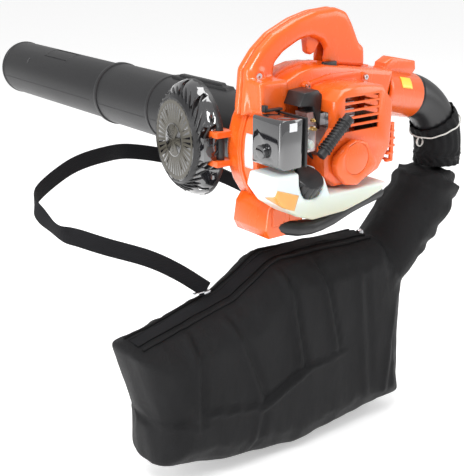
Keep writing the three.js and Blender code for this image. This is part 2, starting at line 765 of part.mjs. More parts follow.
const blades = [];
for (let i = 0; i < impellerBlades; i += 1) {
  const blade = new THREE.BoxGeometry(impellerRadius - 24, impellerFront - impellerBack - 2, 3);
  blade.translate(0, (impellerFront + impellerBack) / 2, 0);
  blade.rotateY(0.45);
  blade.translate((impellerRadius + 20) / 2 - 3, 0, 8);
  blade.rotateY((2 * Math.PI * i) / impellerBlades);
  blades.push(solid(blade));
}
const rotorBore = bar([0, -60, 0], [0, 60, 0], shaftRadius + gap, 20);
add(
  "impeller",
  cut(
    join(
      turned(
        [
          [0, impellerBack], [impellerRadius, impellerBack], [impellerRadius, impellerBack + 3],
          [20, impellerBack + 10], [14, impellerFront - 2], [0, impellerFront - 2],
        ],
        32,
      ),
      ...blades,
    ),
    rotorBore,
  ),
  "black",
);
add(
  "impeller_nut", cut(bar([0, impellerFront - 1.6, 0], [0, impellerFront + 5, 0], 10, 6), rotorBore),
  "steel",
);
const flywheelFins = [];
for (let i = 0; i < 12; i += 1) {
  const fin = new THREE.BoxGeometry(14, 8, 2);
  fin.translate(flywheelRadius - 10, flywheelBack - 10, 0);
  fin.rotateY((Math.PI * i) / 6);
  flywheelFins.push(solid(fin));
}
add(
  "flywheel",
  cut(
    join(bar([0, flywheelBack - 8, 0], [0, flywheelBack, 0], flywheelRadius, 28), ...flywheelFins),
    bar([0, -130, 0], [0, -80, 0], shaftRadius + gap, 20),
  ),
  "silver",
);
const pulleyBack = shroudFront - gap - 1;
const pulleyRadius = 14;
add(
  "starter_pulley",
  cut(
    turned(
      [
        [0, pulleyBack - 8], [pulleyRadius + 3, pulleyBack - 8], [pulleyRadius + 3, pulleyBack - 6.5],
        [pulleyRadius - 2, pulleyBack - 5.5], [pulleyRadius - 2, pulleyBack - 2.5],
        [pulleyRadius + 3, pulleyBack - 1.5], [pulleyRadius + 3, pulleyBack], [0, pulleyBack],
      ],
      24,
    ),
    bar([0, -140, 0], [0, -100, 0], 4, 16),
  ),
  "black",
);
add(
  "recoil_spring",
  cut(
    bar([0, pulleyBack + 1, 0], [0, pulleyBack + 7, 0], starterOpening - 1, 28),
    bar([0, -140, 0], [0, -100, 0], 9, 20),
  ),
  "steel",
);

const muffler = join(
  slab([[60, 0], [73, 0], [80, 12], [80, 52], [60, 52]], -103, -60, 4),
  bar([40 + gap, cylinderAxisY, 50], [64, cylinderAxisY, 50], 9, 16),
);
add("muffler", muffler, "dark");
const plugTop = head + 20;
const sparkPlug = join(
  bar([0, cylinderAxisY, head - 2], [0, cylinderAxisY, head + 6 + gap], 4, 14),
  bar([0, cylinderAxisY, head + 6 + gap], [0, cylinderAxisY, head + 11], 7, 6),
);
add("spark_plug", sparkPlug, "steel");
add(
  "plug_boot", bar([0, cylinderAxisY, head + 11 + gap], [0, cylinderAxisY, plugTop - 4], 7, 14, 5),
  "black",
);
add("ignition_coil", slab([[40, 6], [58, 6], [58, 30], [40, 30]], -100, -88, 2), "black");

// ---------------------------------------------------------------- carburettor and air filter
const filterBack = -97;
const filterCoverEnd = -142;
const filterY = [-126, -57];
const filterZ = [1, 73];
const carbY = [-104, -66];
const primerAxis = [-72, carbY[0] - gap, 27];
const primerRadius = 8;
const primerTravel = 4;
const carburettor = cut(
  join(
    slab([[filterBack + 6, 14], [-56, 14], [-56, 52], [filterBack + 6, 52]], carbY[0], carbY[1], 3),
    block(
      -57, -45, cylinderAxisY - 13, cylinderAxisY + 13, 42, 68,
    ).intersect(block(-57, -44 - gap, -90, -50, 40, 70)),
    bar([-72, -85, 50], [-72, -85, 58], 5, 16),
  ),
  bar([filterBack, -84, 34], [-66, -84, 34], 9, 20),
  bar(
    [primerAxis[0], carbY[0] - 1, primerAxis[2]],
    [primerAxis[0], carbY[0] + primerTravel + 1, primerAxis[2]], primerRadius + 2 * gap, 20,
  ),
);
add("carburettor", carburettor, "silver");
add(
  "primer_bulb", bar(primerAxis, [primerAxis[0], primerAxis[1] - 8, primerAxis[2]], primerRadius, 16, 5),
  "milky",
);
const chokePivot = [filterBack + 2.5, -64, 74];
const knobY = -88;
const knobZ = 24;
const filterOutline = (shrink) => [
  [filterY[0] + shrink, filterZ[0] + shrink],
  [filterY[1] - shrink, filterZ[0] + shrink],
  [filterY[1] - shrink, filterZ[1] - shrink],
  [filterY[0] + shrink, filterZ[1] - shrink],
];
const filterBase = cut(
  join(
    slabAcross(filterOutline(0), filterBack, filterBack + 5, 1.5),
    bar([filterBack - 26, knobY, knobZ], [filterBack + 1, knobY, knobZ], 4, 12),
  ),
  bar([filterBack - 1, -84, 34], [filterBack + 8, -84, 34], 9, 20),
  bar([chokePivot[0], chokePivot[1], 50], [chokePivot[0], chokePivot[1], 90], 2.4, 12),
);
add("air_filter_base", filterBase, "black");
const filterCover = cut(
  slabAcross(filterOutline(0), filterCoverEnd, filterBack - gap, 8, 3),
  slabAcross(filterOutline(wall), filterCoverEnd + wall, filterBack + 12, 6),
  bar([filterCoverEnd - 2, knobY, knobZ], [filterBack, knobY, knobZ], 6, 16),
);
add("air_filter_cover", filterCover, "gloss");
add(
  "air_filter_element",
  cut(
    slabAcross(filterOutline(wall + 4), filterBack - 24, filterBack - 2 * gap, 3),
    bar([filterCoverEnd, knobY, knobZ], [filterBack + 10, knobY, knobZ], 6, 16),
  ),
  "foam",
);
add(
  "air_filter_knob",
  cut(
    join(
      bar([filterCoverEnd - gap - 7, knobY, knobZ], [filterCoverEnd - gap, knobY, knobZ], 10, 12),
      bar([filterCoverEnd - gap - 1, knobY, knobZ], [filterBack - 16, knobY, knobZ], 5.6, 16),
    ),
    bar([filterBack - 40, knobY, knobZ], [filterBack - 10, knobY, knobZ], 4.3, 12),
  ),
  "gloss",
);
add(
  "choke_lever",
  join(
    bar([chokePivot[0], chokePivot[1], 66], [chokePivot[0], chokePivot[1], chokePivot[2] + 1], 2, 10),
    block(
      chokePivot[0] - 30, chokePivot[0] + 4, chokePivot[1] - 4, chokePivot[1] + 4, chokePivot[2],
      chokePivot[2] + 3.5,
    ),
    block(
      chokePivot[0] - 30, chokePivot[0] - 24, chokePivot[1] - 4, chokePivot[1] + 4, chokePivot[2],
      chokePivot[2] + 10,
    ),
  ),
  "black",
);

// ---------------------------------------------------------------- fuel tank
const tankY = [-128, -66];
const tankOutline = [
  [-152, -6], [-158, -26], [-138, -52], [
    -108, -72,
  ], [-78, -82], [-14, -80], [30, -70], [62, -60], [72, -47], [-46, -47], [-64, -6],
];
const capAxis = new THREE.Vector3(0, -0.6, 0.8);
const capSeat = new THREE.Vector3(-84, -116, -25);
const alongCap = (s) => capSeat.clone().addScaledVector(capAxis, s).toArray();
const tankOuter = slab(tankOutline, tankY[0], tankY[1], 5);
const tankInner = slab(inset(tankOutline, wall), tankY[0] + wall, tankY[1] - wall, 2, [], 1);
const capPocket = bar(alongCap(-13), alongCap(60), capRadius + 1.5, 28);
const pocketWall = bar(alongCap(-13 - wall), alongCap(60), capRadius + 1.5 + wall, 28).intersect(tankOuter);
const tank = cut(
  join(
    cut(join(cut(tankOuter, tankInner), pocketWall), capPocket), bar(alongCap(-14), alongCap(4), 16.5, 24),
  ),
  bar(alongCap(-22), alongCap(8), 14, 24),
  bar([-78, -80, -30], [-78, -79, 0], 3.5, 12),
);
add("fuel_tank", tank, "milky");
const capKnurl = [];
for (let i = 0; i < 14; i += 1) {
  const notch = new THREE.CylinderGeometry(2, 2, capHeight, 6);
  notch.translate(capRadius + 0.8, 0, 0);
  notch.rotateY((2 * Math.PI * i) / 14);
  capKnurl.push(solid(notch));
}
let cap = cut(
  turned([[0, 5], [17, 5], [17, -12], [capRadius, -12], [capRadius, 10], [capRadius - 2, 12], [0, 12]], 28),
  ...capKnurl,
);
const capTurn = new THREE.Quaternion().setFromUnitVectors(new THREE.Vector3(0, 1, 0), capAxis);
const capMesh = add("fuel_cap", cap, "black");
capMesh.quaternion.copy(capTurn);
capMesh.position.copy(capSeat);
add(
  "fuel_line",
  swept([[-78, -80, -26], [-78, -80, -16], [-78, -79, 0], [-78, -77, 8], [-78, -76, 13]], ring(3, 8), 8),
  "black",
);

// ---------------------------------------------------------------- starter rope and grip
add(
  "starter_grip",
  cut(
    join(bar(onGrip(-37, 0), onGrip(37, 0), 7.5, 16, 8.5), bar(onGrip(0, 0), onGrip(0, -11), 7, 14, 5)),
    bar(onGrip(0, -20), onGrip(0, 4), 2.2, 10),
  ),
  "black",
);
add("starter_rope", join(bar(onGrip(0, 3.5), onGrip(0, -34), ropeRadius, 8)), "black");

// ---------------------------------------------------------------- switch and small fixings
add("stop_switch", stopSwitchPart(18, stopSwitchRadius, stopSwitchAt[2] - 9, stopSwitchAt[2] + 4), "black");

function capScrew(x, y, z, headRadius, headHeight, shank) {
  return cut(
    join(
      bar([x, y - headHeight, z], [x, y, z], headRadius, 16),
      bar([x, y - 0.5, z], [x, y + shank, z], screwRadius, 10),
    ),
    bar([x, y - headHeight - 1, z], [x, y - headHeight + 1.8, z], 2, 6),
  );
}
shroudScrews.forEach(([x, z], i) => {
  add(`shroud_screw_${i + 1}`, capScrew(x, caseGap - 7 - gap, z, 4, 3.5, 6), "steel");
});
add("handle_screw", capScrew(-99, splitY - handleWidth / 2 + 1 - gap, 117, 5.6, 3.5, 0.2), "steel");

// ---------------------------------------------------------------- bag fittings and strap
const zipRoute = [[-330, splitY, -252], [-155, splitY, -206], [-68, splitY, -159], [30, splitY, -161]];
const zipHalf = 5;
const zipTrack = swept(zipRoute, [[-zipHalf, -1.6], [zipHalf, -1.6], [zipHalf, 1.6], [-zipHalf, 1.6]], 10);
add("zip_track", cut(zipTrack, bagBody), "black");

const strapRoute = [
  [
    -184, splitY, -204,
  ], [-290, -8, -129], [-348, 10, -104], [-378, 30, -91], [-400, 52, -82], [-415, 72, -62], [-415, 92, -44],
  [-388, 116, -33], [-320, 150, -18], [-244, 185, -19], [
    -161, 236, -36,
  ], [-64, 252, -66], [12, 205, -102], [38, 130, -128], [24, 40, -158],
];
const strapBody = swept(
  strapRoute,
  [
    [-strapWidth / 2, -strapThick / 2], [strapWidth / 2, -strapThick / 2],
    [strapWidth / 2, strapThick / 2], [-strapWidth / 2, strapThick / 2],
  ],
  34,
);
const bagClear = slab(
  bagOutline, splitY - bagThickness / 2 - gap, splitY + bagThickness / 2 + gap, bagEdge, [], 3,
);
add("strap", cut(strapBody, bagClear, block(-200, 60, -20, 20, -230, -190)), "fabric");

// the draw cord in the cuff's hem
const drawcordRadius = 1.6;
const drawcordCentre = elbowRoute(cuffStart + 0.1, 1, 1)[0];
const drawcordRing = turned(
  [
    [cuffOutside + gap, -drawcordRadius],
    [cuffOutside + gap + 2 * drawcordRadius, -drawcordRadius],
    [cuffOutside + gap + 2 * drawcordRadius, drawcordRadius],
    [cuffOutside + gap, drawcordRadius],
  ],
  24,
).rotate([-90, 0, 0]);
const drawcordLean = THREE.MathUtils.radToDeg(bendStart * (1 - cuffStart - 0.1));
add("drawcord", cut(drawcordRing.rotate([0, -drawcordLean, 0]).translate(drawcordCentre), cuff), "steel");

const zipPullAt = [-185, splitY, -214 + 7];
add(
  "zip_pull",
  join(
    block(zipPullAt[0] - 6, zipPullAt[0] + 6, splitY - 5, splitY + 5, zipPullAt[2] - 1.6, zipPullAt[2] + 3),
    block(zipPullAt[0] - 24, zipPullAt[0] - 4, splitY - 3, splitY + 3, zipPullAt[2] + 1, zipPullAt[2] + 3),
  ),
  "steel",
);

// the middle of the hand grip is the origin
blower.position.set(-gripMiddle[0], -gripMiddle[1], -gripMiddle[2]);

export default blower;
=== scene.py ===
# A petrol leaf blower in vacuum trim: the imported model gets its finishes, soft goods and fine detail here.
import json
import math

import bmesh
import bpy
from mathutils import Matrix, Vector, noise
from mathutils.bvhtree import BVHTree

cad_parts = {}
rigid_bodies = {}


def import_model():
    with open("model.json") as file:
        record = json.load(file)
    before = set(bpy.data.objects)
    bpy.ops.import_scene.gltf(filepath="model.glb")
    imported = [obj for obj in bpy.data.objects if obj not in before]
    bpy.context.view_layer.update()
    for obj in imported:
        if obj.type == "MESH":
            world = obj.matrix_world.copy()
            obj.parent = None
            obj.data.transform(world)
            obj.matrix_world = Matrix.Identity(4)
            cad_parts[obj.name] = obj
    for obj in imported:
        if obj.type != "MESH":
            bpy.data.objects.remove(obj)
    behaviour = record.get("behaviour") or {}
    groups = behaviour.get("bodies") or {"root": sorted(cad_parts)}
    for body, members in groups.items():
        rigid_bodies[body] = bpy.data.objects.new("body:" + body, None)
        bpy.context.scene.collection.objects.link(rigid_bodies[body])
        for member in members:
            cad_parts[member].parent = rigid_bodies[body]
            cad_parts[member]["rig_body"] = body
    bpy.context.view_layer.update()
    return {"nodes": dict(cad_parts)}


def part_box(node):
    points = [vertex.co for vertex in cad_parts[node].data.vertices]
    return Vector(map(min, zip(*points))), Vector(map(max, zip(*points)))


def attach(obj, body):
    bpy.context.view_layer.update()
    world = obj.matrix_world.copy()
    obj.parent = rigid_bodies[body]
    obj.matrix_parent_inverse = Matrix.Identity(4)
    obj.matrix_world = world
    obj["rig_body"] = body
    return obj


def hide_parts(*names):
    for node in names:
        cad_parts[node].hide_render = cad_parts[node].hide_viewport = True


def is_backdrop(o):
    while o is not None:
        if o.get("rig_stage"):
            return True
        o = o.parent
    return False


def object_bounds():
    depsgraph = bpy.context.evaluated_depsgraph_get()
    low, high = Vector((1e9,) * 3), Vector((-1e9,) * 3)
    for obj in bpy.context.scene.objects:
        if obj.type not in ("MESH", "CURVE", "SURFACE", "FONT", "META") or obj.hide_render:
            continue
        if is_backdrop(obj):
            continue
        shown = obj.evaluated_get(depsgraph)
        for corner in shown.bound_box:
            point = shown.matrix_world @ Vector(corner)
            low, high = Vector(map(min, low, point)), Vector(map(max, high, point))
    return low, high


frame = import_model()
nodes = frame["nodes"]

MM = 0.001
CRANK = Vector((-12, 4, -184))  # the crankshaft's line, where the machine's own sizes are measured from


def at(x, y, z):
    """A place measured from the crankshaft in millimetres, as metres from the hand grip."""
    return (Vector((x, y, z)) + CRANK) * MM


# ------------------------------------------------------------------ finishes
class Value:
    """A shader socket that can be used in sums."""

    def __init__(self, look, socket):
        self.look = look
        self.socket = socket

    def math(self, operation, other, swap=False):
        pair = [other, self] if swap else [self, other]
        return self.look.node("Math", {"operation": operation}, {0: pair[0], 1: pair[1]})

    def __add__(self, other):
        return self.math("ADD", other)

    def __sub__(self, other):
        return self.math("SUBTRACT", other)

    def __rsub__(self, other):
        return self.math("SUBTRACT", other, swap=True)

    def __mul__(self, other):
        return self.math("MULTIPLY", other)

    def __gt__(self, other):
        return self.math("GREATER_THAN", other)

    def __lt__(self, other):
        return self.math("LESS_THAN", other)

    __radd__ = __add__
    __rmul__ = __mul__

    def part(self, name):
        return Value(self.look, self.socket.node.outputs[name])

    def wave(self, turns):
        return (self * turns).math("SINE", 0)

    def size(self):
        return self.math("ABSOLUTE", 0)


class Look:
    """One finish: a shader with its constants, and the nodes that vary it over the surface."""

    def __init__(self, name, **constants):
        self.material = bpy.data.materials.new(name)
        self.material.use_nodes = True
        self.tree = self.material.node_tree
        self.shader = self.tree.nodes["Principled BSDF"]
        for key, value in constants.items():
            words = key.replace("_", " ").title().replace("Ior", "IOR")
            self.shader.inputs[words].default_value = value

    def node(self, kind, settings=None, sockets=None):
        made = self.tree.nodes.new("ShaderNode" + kind)
        for key, value in (settings or {}).items():
            if key == "stops":
                while len(made.color_ramp.elements) < len(value):
                    made.color_ramp.elements.new(1)
                for stop, (place, colour) in zip(made.color_ramp.elements, value):
                    stop.position = place
                    stop.color = (*colour, 1)
            else:
                setattr(made, key, value)
        for key, value in (sockets or {}).items():
            self.feed(made.inputs[key], value)
        out = [s for s in made.outputs if s.enabled]
        return Value(self, out[0])

    def feed(self, socket, value):
        if isinstance(value, Value):
            self.tree.links.new(value.socket, socket)
        else:
            socket.default_value = value

    def place(self, stretch=(1, 1, 1)):
        where = self.node("TexCoord").part("Object")
        return self.node("Mapping", None, {"Vector": where, "Scale": stretch})

    def grain(self, scale, detail=2.0, stretch=(1, 1, 1)):
        return self.node("TexNoise", None, {"Vector": self.place(stretch), "Scale": scale, "Detail": detail})

    def cells(self, scale, stretch=(1, 1, 1)):
        return self.node("TexVoronoi", None, {"Vector": self.place(stretch), "Scale": scale})

    def axes(self):
        split = self.node("SeparateXYZ", None, {0: self.node("TexCoord").part("Object")})
        return split.part("X"), split.part("Y"), split.part("Z")

    def ramp(self, value, stops):
        return self.node("ValToRGB", {"stops": stops}, {0: value})

    def blend(self, amount, one, two):
        pair = {0: amount, 6: one if isinstance(one, Value) else (*one, 1), 7: two if isinstance(two, Value) else (*two, 1)}
        made = self.node("Mix", {"data_type": "RGBA"}, pair)
        return made

    def vary(self, colour=None, rough=None, metal=None, relief=None, strength=0.3, height=0.0005):
        if colour is not None:
            self.feed(self.shader.inputs["Base Color"], colour)
        if rough is not None:
            self.feed(self.shader.inputs["Roughness"], rough)
        if metal is not None:
            self.feed(self.shader.inputs["Metallic"], metal)
        if relief is not None:
            bump = self.node("Bump", None, {"Height": relief, "Strength": strength, "Distance": height})
            self.feed(self.shader.inputs["Normal"], bump)
        return self.material


def moulded(name, colour, deep, rough, grain_size, strength, **constants):
    """Moulded plastic: faint clouding of the colour, handling smudges and a fine skin texture."""
    look = Look(name, **constants)
    cloud = look.grain(14, 4)
    smudge = look.grain(60, 5, (1, 1, 0.4))
    skin = look.grain(grain_size, 2)
    tint = look.blend(cloud, deep, colour)
    return look.vary(tint, smudge * 0.16 + (rough - 0.08), None, skin + look.grain(9, 2) * 3, strength, 0.0004)


def orange_shell():
    return moulded("orange shell", (0.82, 0.125, 0.012), (0.74, 0.098, 0.009), 0.26, 420, 0.12, coat_weight=0.35, coat_roughness=0.12)


def tube_black():
    look = Look("speckled black tube", ior=1.48)
    speck = look.cells(900)
    flecks = look.ramp(speck, [(0.08, (0.075, 0.075, 0.08)), (0.22, (0.014, 0.014, 0.015))])
    rub = look.grain(35, 6, (1, 0.15, 1))
    return look.vary(flecks, rub * 0.2 + 0.3, None, speck + look.grain(500, 2), 0.22, 0.0003)


def black_part():
    return moulded("satin black moulding", (0.017, 0.017, 0.018), (0.009, 0.009, 0.01), 0.34, 650, 0.25)


def black_gloss():
    return moulded("polished black", (0.012, 0.012, 0.014), (0.006, 0.006, 0.008), 0.12, 260, 0.05, coat_weight=1.0, coat_ior=2.1, coat_roughness=0.06)


def rubber_black():
    return moulded("soft black grip", (0.013, 0.013, 0.014), (0.008, 0.008, 0.009), 0.5, 800, 0.4)


def cast_metal():
    look = Look("cast aluminium", metallic=1.0)
    pits = look.grain(700, 5)
    stain = look.grain(40, 4)
    tint = look.blend(stain, (0.42, 0.42, 0.43), (0.74, 0.75, 0.77))
    return look.vary(tint, stain * 0.25 + 0.26, None, pits, 0.5, 0.0006)


def turned_steel():
    look = Look("bright steel", metallic=1.0)
    lines = look.grain(90, 3, (1, 14, 1))
    tint = look.blend(lines, (0.46, 0.47, 0.49), (0.78, 0.79, 0.81))
    return look.vary(tint, lines * 0.2 + 0.16, None, lines, 0.15, 0.0003)


def brass_part():
    look = Look("brass fitting", metallic=1.0)
    dull = look.grain(120, 4)
    tint = look.blend(dull, (0.5, 0.33, 0.1), (0.82, 0.6, 0.24))
    return look.vary(tint, dull * 0.25 + 0.2, None, dull, 0.2, 0.0003)


def hot_metal():
    look = Look("heat darkened metal", metallic=0.8)
    scale = look.grain(240, 6)
    tint = look.ramp(look.grain(30, 3), [(0.35, (0.03, 0.028, 0.027)), (0.62, (0.11, 0.075, 0.05))])
    return look.vary(tint, scale * 0.3 + 0.4, None, scale, 0.5, 0.0006)


def tank_plastic():
    look = Look("translucent tank", transmission_weight=0.12, subsurface_weight=0.25, ior=1.45)
    height = look.axes()[2]
    cloud = look.grain(22, 4)
    level = look.node("MapRange", None, {0: height + cloud * 0.004, 1: -0.262, 2: -0.2})
    tint = look.ramp(level, [(0.0, (0.62, 0.56, 0.42)), (0.45, (0.78, 0.75, 0.66)), (0.55, (0.86, 0.86, 0.83))])
    return look.vary(tint, cloud * 0.15 + 0.24, None, look.grain(300, 3), 0.15, 0.0004)


def olive_face():
    return moulded("olive grey disc", (0.085, 0.078, 0.06), (0.06, 0.055, 0.042), 0.34, 300, 0.12)


def bag_cloth():
    """Black plain weave, a little lighter where it is rubbed, with wide soft wrinkles."""
    look = Look("bag cloth", specular_ior_level=0.2)
    x, y, z = look.axes()
    warp = x.wave(5200) + y.wave(5200)
    weft = z.wave(5200)
    weave = warp * weft
    slub = look.grain(240, 3, (1, 1, 6))
    rub = look.grain(9, 5)
    tint = look.blend(rub, (0.002, 0.002, 0.0025), (0.0075, 0.0075, 0.0085))
    wrinkle = look.grain(26, 5, (1.6, 1, 0.5)) * 7
    return look.vary(tint, slub * 0.2 + 0.46, None, weave * 0.25 + slub + wrinkle, 0.55, 0.0012)


def webbing():
    """Black herringbone webbing."""
    look = Look("strap webbing", specular_ior_level=0.15)
    x, y, z = look.axes()
    rib = (x + z).wave(3600) * (y + z * 0.6).wave(1300)
    lint = look.grain(500, 3)
    tint = look.blend(lint, (0.004, 0.004, 0.005), (0.013, 0.013, 0.015))
    return look.vary(tint, lint * 0.2 + 0.6, None, rib + lint, 0.6, 0.0008)


def white_cord():
    look = Look("white braided cord", sheen_weight=0.2)
    x, y, z = look.axes()
    braid = (x + z).wave(2600) * (y - z).wave(2600)
    tint = look.blend(braid.size(), (0.5, 0.49, 0.46), (0.85, 0.84, 0.8))
    return look.vary(tint, braid * 0.1 + 0.7, None, braid, 0.6, 0.0006)


def filter_foam():
    look = Look("filter foam")
    pores = look.cells(600)
    tint = look.ramp(pores, [(0.0, (0.02, 0.02, 0.02)), (0.5, (0.2, 0.19, 0.17))])
    return look.vary(tint, pores * 0.1 + 0.85, None, pores, 0.8, 0.001)


def plain_label(name, colour, deep):
    look = Look(name, coat_weight=0.3)
    print_grain = look.grain(90, 3)
    return look.vary(look.blend(print_grain, deep, colour), print_grain * 0.15 + 0.25, None, look.grain(400, 2), 0.05, 0.0002)


def floor_paper():
    look = Look("studio floor", emission_color=(1, 1, 1, 1), emission_strength=0.36)
    fibre = look.grain(30, 4)
    return look.vary(look.blend(fibre, (0.93, 0.93, 0.93), (0.96, 0.96, 0.96)), fibre * 0.1 + 0.75, None, fibre, 0.02, 0.0005)


ORANGE = orange_shell()
TUBE = tube_black()
BLACK = black_part()
GLOSS = black_gloss()
GRIP = rubber_black()
CAST = cast_metal()
STEEL = turned_steel()
BRASS = brass_part()
HOT = hot_metal()
TANK = tank_plastic()
OLIVE = olive_face()
CLOTH = bag_cloth()
WEBBING = webbing()
CORD = white_cord()
FOAM = filter_foam()


# ------------------------------------------------------------------ making pieces
def piece(name, points, faces, finish, body, smooth=True):
    mesh = bpy.data.meshes.new(name)
    mesh.from_pydata([tuple(p) for p in points], [], faces)
    return dress(name, mesh, finish, body, smooth)


def dress(name, mesh, finish, body, smooth=True):
    work = bmesh.new()
    work.from_mesh(mesh)
    bmesh.ops.recalc_face_normals(work, faces=work.faces)
    work.to_mesh(mesh)
    work.free()
    made = bpy.data.objects.new(name, mesh)
    bpy.context.scene.collection.objects.link(made)
    mesh.materials.clear()
    mesh.materials.append(finish)
    for face in mesh.polygons:
        face.use_smooth = smooth
    if smooth:
        mesh.set_sharp_from_angle(angle=math.radians(38))
    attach(made, body)
    return made


def apply(made):
    """Bakes the piece's modifiers into its mesh."""
    graph = bpy.context.evaluated_depsgraph_get()
    graph.update()
    baked = bpy.data.meshes.new_from_object(made.evaluated_get(graph))
    made.modifiers.clear()
    made.data = baked
    return made


def rounded(made, width, angle=30, parts=2):
    """Rounds the sharp edges and shades the rest smoothly."""
    bevel = made.modifiers.new("edges", "BEVEL")
    bevel.width = width * MM
    bevel.segments = parts
    bevel.limit_method = "ANGLE"
    bevel.angle_limit = math.radians(angle)
    bevel.use_clamp_overlap = True
    bevel.harden_normals = False
    apply(made)
    for face in made.data.polygons:
        face.use_smooth = True
    made.data.set_sharp_from_angle(angle=math.radians(35))
    return made


def crisp(node, finish, width=0.8):
    """A copy of a hard part with its edges broken, in its finish."""
    body = nodes[node]["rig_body"]
    mesh = nodes[node].data.copy()
    work = bmesh.new()
    work.from_mesh(mesh)
    bmesh.ops.remove_doubles(work, verts=work.verts, dist=1e-5)
    bmesh.ops.dissolve_limit(work, angle_limit=math.radians(1), verts=work.verts, edges=work.edges)
    work.to_mesh(mesh)
    work.free()
    made = dress(node + "_finished", mesh, finish, body)
    rounded(made, width)
    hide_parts(node)
    return made


def melted(node, finish, cell, rounds, grow=0.0):
    """A copy of a moulded part with its facets melted into soft curves."""
    body = nodes[node]["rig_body"]
    made = dress(node + "_finished", nodes[node].data.copy(), finish, body)
    remesh = made.modifiers.new("even", "REMESH")
    remesh.mode = "VOXEL"
    remesh.voxel_size = cell * MM
    melt = made.modifiers.new("melt", "SMOOTH")
    melt.factor = 0.5
    melt.iterations = rounds
    if grow:
        swell = made.modifiers.new("swell", "DISPLACE")
        swell.mid_level = 0
        swell.strength = grow * MM
    apply(made)
    for face in made.data.polygons:
        face.use_smooth = True
    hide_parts(node)
    return made


def finish_node(node, finish):
    mesh = nodes[node].data
    for index in range(len(nodes[node].material_slots)):
        nodes[node].material_slots[index].material = finish


def turned(name, profile, base, along, finish, body, sides=72):
    """A closed profile of (radius, distance) pairs in millimetres, turned round a line."""
    along = Vector(along).normalized()
    side = along.orthogonal().normalized()
    other = along.cross(side)
    points = []
    faces = []
    count = len(profile)
    for turn in range(sides):
        angle = 2 * math.pi * turn / sides
        out = side * math.cos(angle) + other * math.sin(angle)
        points += [Vector(base) + (out * r + along * d) * MM for r, d in profile]
        following = (turn + 1) % sides
        for i in range(count):
            j = (i + 1) % count
            faces.append((turn * count + i, following * count + i, following * count + j, turn * count + j))
    return piece(name, points, faces, finish, body)


def smooth_line(points, steps):
    """Points on a smooth curve through the given ones."""
    points = [Vector(p) for p in points]
    ends = [points[0] * 2 - points[1], *points, points[-1] * 2 - points[-2]]
    line = []
    for i in range(len(points) - 1):
        a, b, c, d = ends[i : i + 4]
        for k in range(steps):
            t = k / steps
            line.append(0.5 * (2 * b + (c - a) * t + (2 * a - 5 * b + 4 * c - d) * t * t + (3 * b - a - 3 * c + d) * t**3))
    return [*line, points[-1]]


def ribbon(name, line, across, width, thick, finish, body):
    """A flat band along a line; across gives the direction of its width at each point."""
    points = []
    faces = []
    for i, here in enumerate(line):
        ahead = (line[min(i + 1, len(line) - 1)] - line[max(i - 1, 0)]).normalized()
        side = across[i] - ahead * across[i].dot(ahead)
        side.normalize()
        up = ahead.cross(side)
        half = width * MM / 2
        deep = thick * MM / 2
        for u, v in ((-1, -0.6), (-0.92, -1), (0.92, -1), (1, -0.6), (1, 0.6), (0.92, 1), (-0.92, 1), (-1, 0.6)):
            points.append(here + side * half * u + up * deep * v)
    for i in range(len(line) - 1):
        for k in range(8):
            j = (k + 1) % 8
            faces.append((i * 8 + k, i * 8 + j, i * 8 + 8 + j, i * 8 + 8 + k))
    faces.append(tuple(range(8)))
    last = (len(line) - 1) * 8
    faces.append(tuple(last + k for k in range(8)))
    return piece(name, points, faces, finish, body)


def cordage(name, line, radius, finish, body, sides=10, closed=False):
    """A round cord along a line."""
    points = []
    faces = []
    count = len(line)
    side = Vector((0.3, 0.2, 1)).normalized()
    for i, here in enumerate(line):
        ahead = line[(i + 1) % count if closed else min(i + 1, count - 1)] - line[i - 1 if closed else max(i - 1, 0)]
        ahead.normalize()
        side = (side - ahead * side.dot(ahead)).normalized()
        other = ahead.cross(side)
        for k in range(sides):
            angle = 2 * math.pi * k / sides
            points.append(here + (side * math.cos(angle) + other * math.sin(angle)) * radius * MM)
    for i in range(count if closed else count - 1):
        j = (i + 1) % count
        for k in range(sides):
            m = (k + 1) % sides
            faces.append((i * sides + k, i * sides + m, j * sides + m, j * sides + k))
    if not closed:
        faces.append(tuple(range(sides)))
        faces.append(tuple((count - 1) * sides + k for k in range(sides)))
    return piece(name, points, faces, finish, body)


def merge(name, members, finish, body):
    """Several pieces as one."""
    work = bmesh.new()
    for member in members:
        work.from_mesh(member.data)
        bpy.data.objects.remove(member)
    mesh = bpy.data.meshes.new(name)
    work.to_mesh(mesh)
    work.free()
    made = bpy.data.objects.new(name, mesh)
    bpy.context.scene.collection.objects.link(made)
    mesh.materials.append(finish)
    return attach(made, body)


def surface(*objects):
    """The surface of some pieces, for laying others on it."""
    work = bmesh.new()
    for one in objects:
        work.from_mesh(one.data)
    tree = BVHTree.FromBMesh(work)
    work.free()
    return tree


def patch(name, ground, centre, across, up, toward, finish, body, lift=0.35, round_end=False):
    """A thin label laid on a surface: a grid pressed on to it along a direction."""
    columns = 14
    rows = 10
    points = []
    faces = []
    toward = Vector(toward).normalized()
    for i in range(columns + 1):
        for k in range(rows + 1):
            u = 2 * i / columns - 1
            v = 2 * k / rows - 1
            if round_end:
                u, v = u * math.sqrt(1 - v * v / 2), v * math.sqrt(1 - u * u / 2)
            start = Vector(centre) + Vector(across) * u + Vector(up) * v - toward * 0.1
            spot, normal, _, _ = ground.ray_cast(start, toward)
            if spot is None:
                spot = Vector(centre) + Vector(across) * u + Vector(up) * v
                normal = -toward
            points.append(spot - toward * lift * MM)
    for i in range(columns):
        for k in range(rows):
            a = i * (rows + 1) + k
            faces.append((a, a + 1, a + rows + 2, a + rows + 1))
    made = piece(name, points, faces, finish, body)
    thick = made.modifiers.new("thickness", "SOLIDIFY")
    thick.thickness = 0.5 * MM
    thick.offset = 0
    return apply(made)


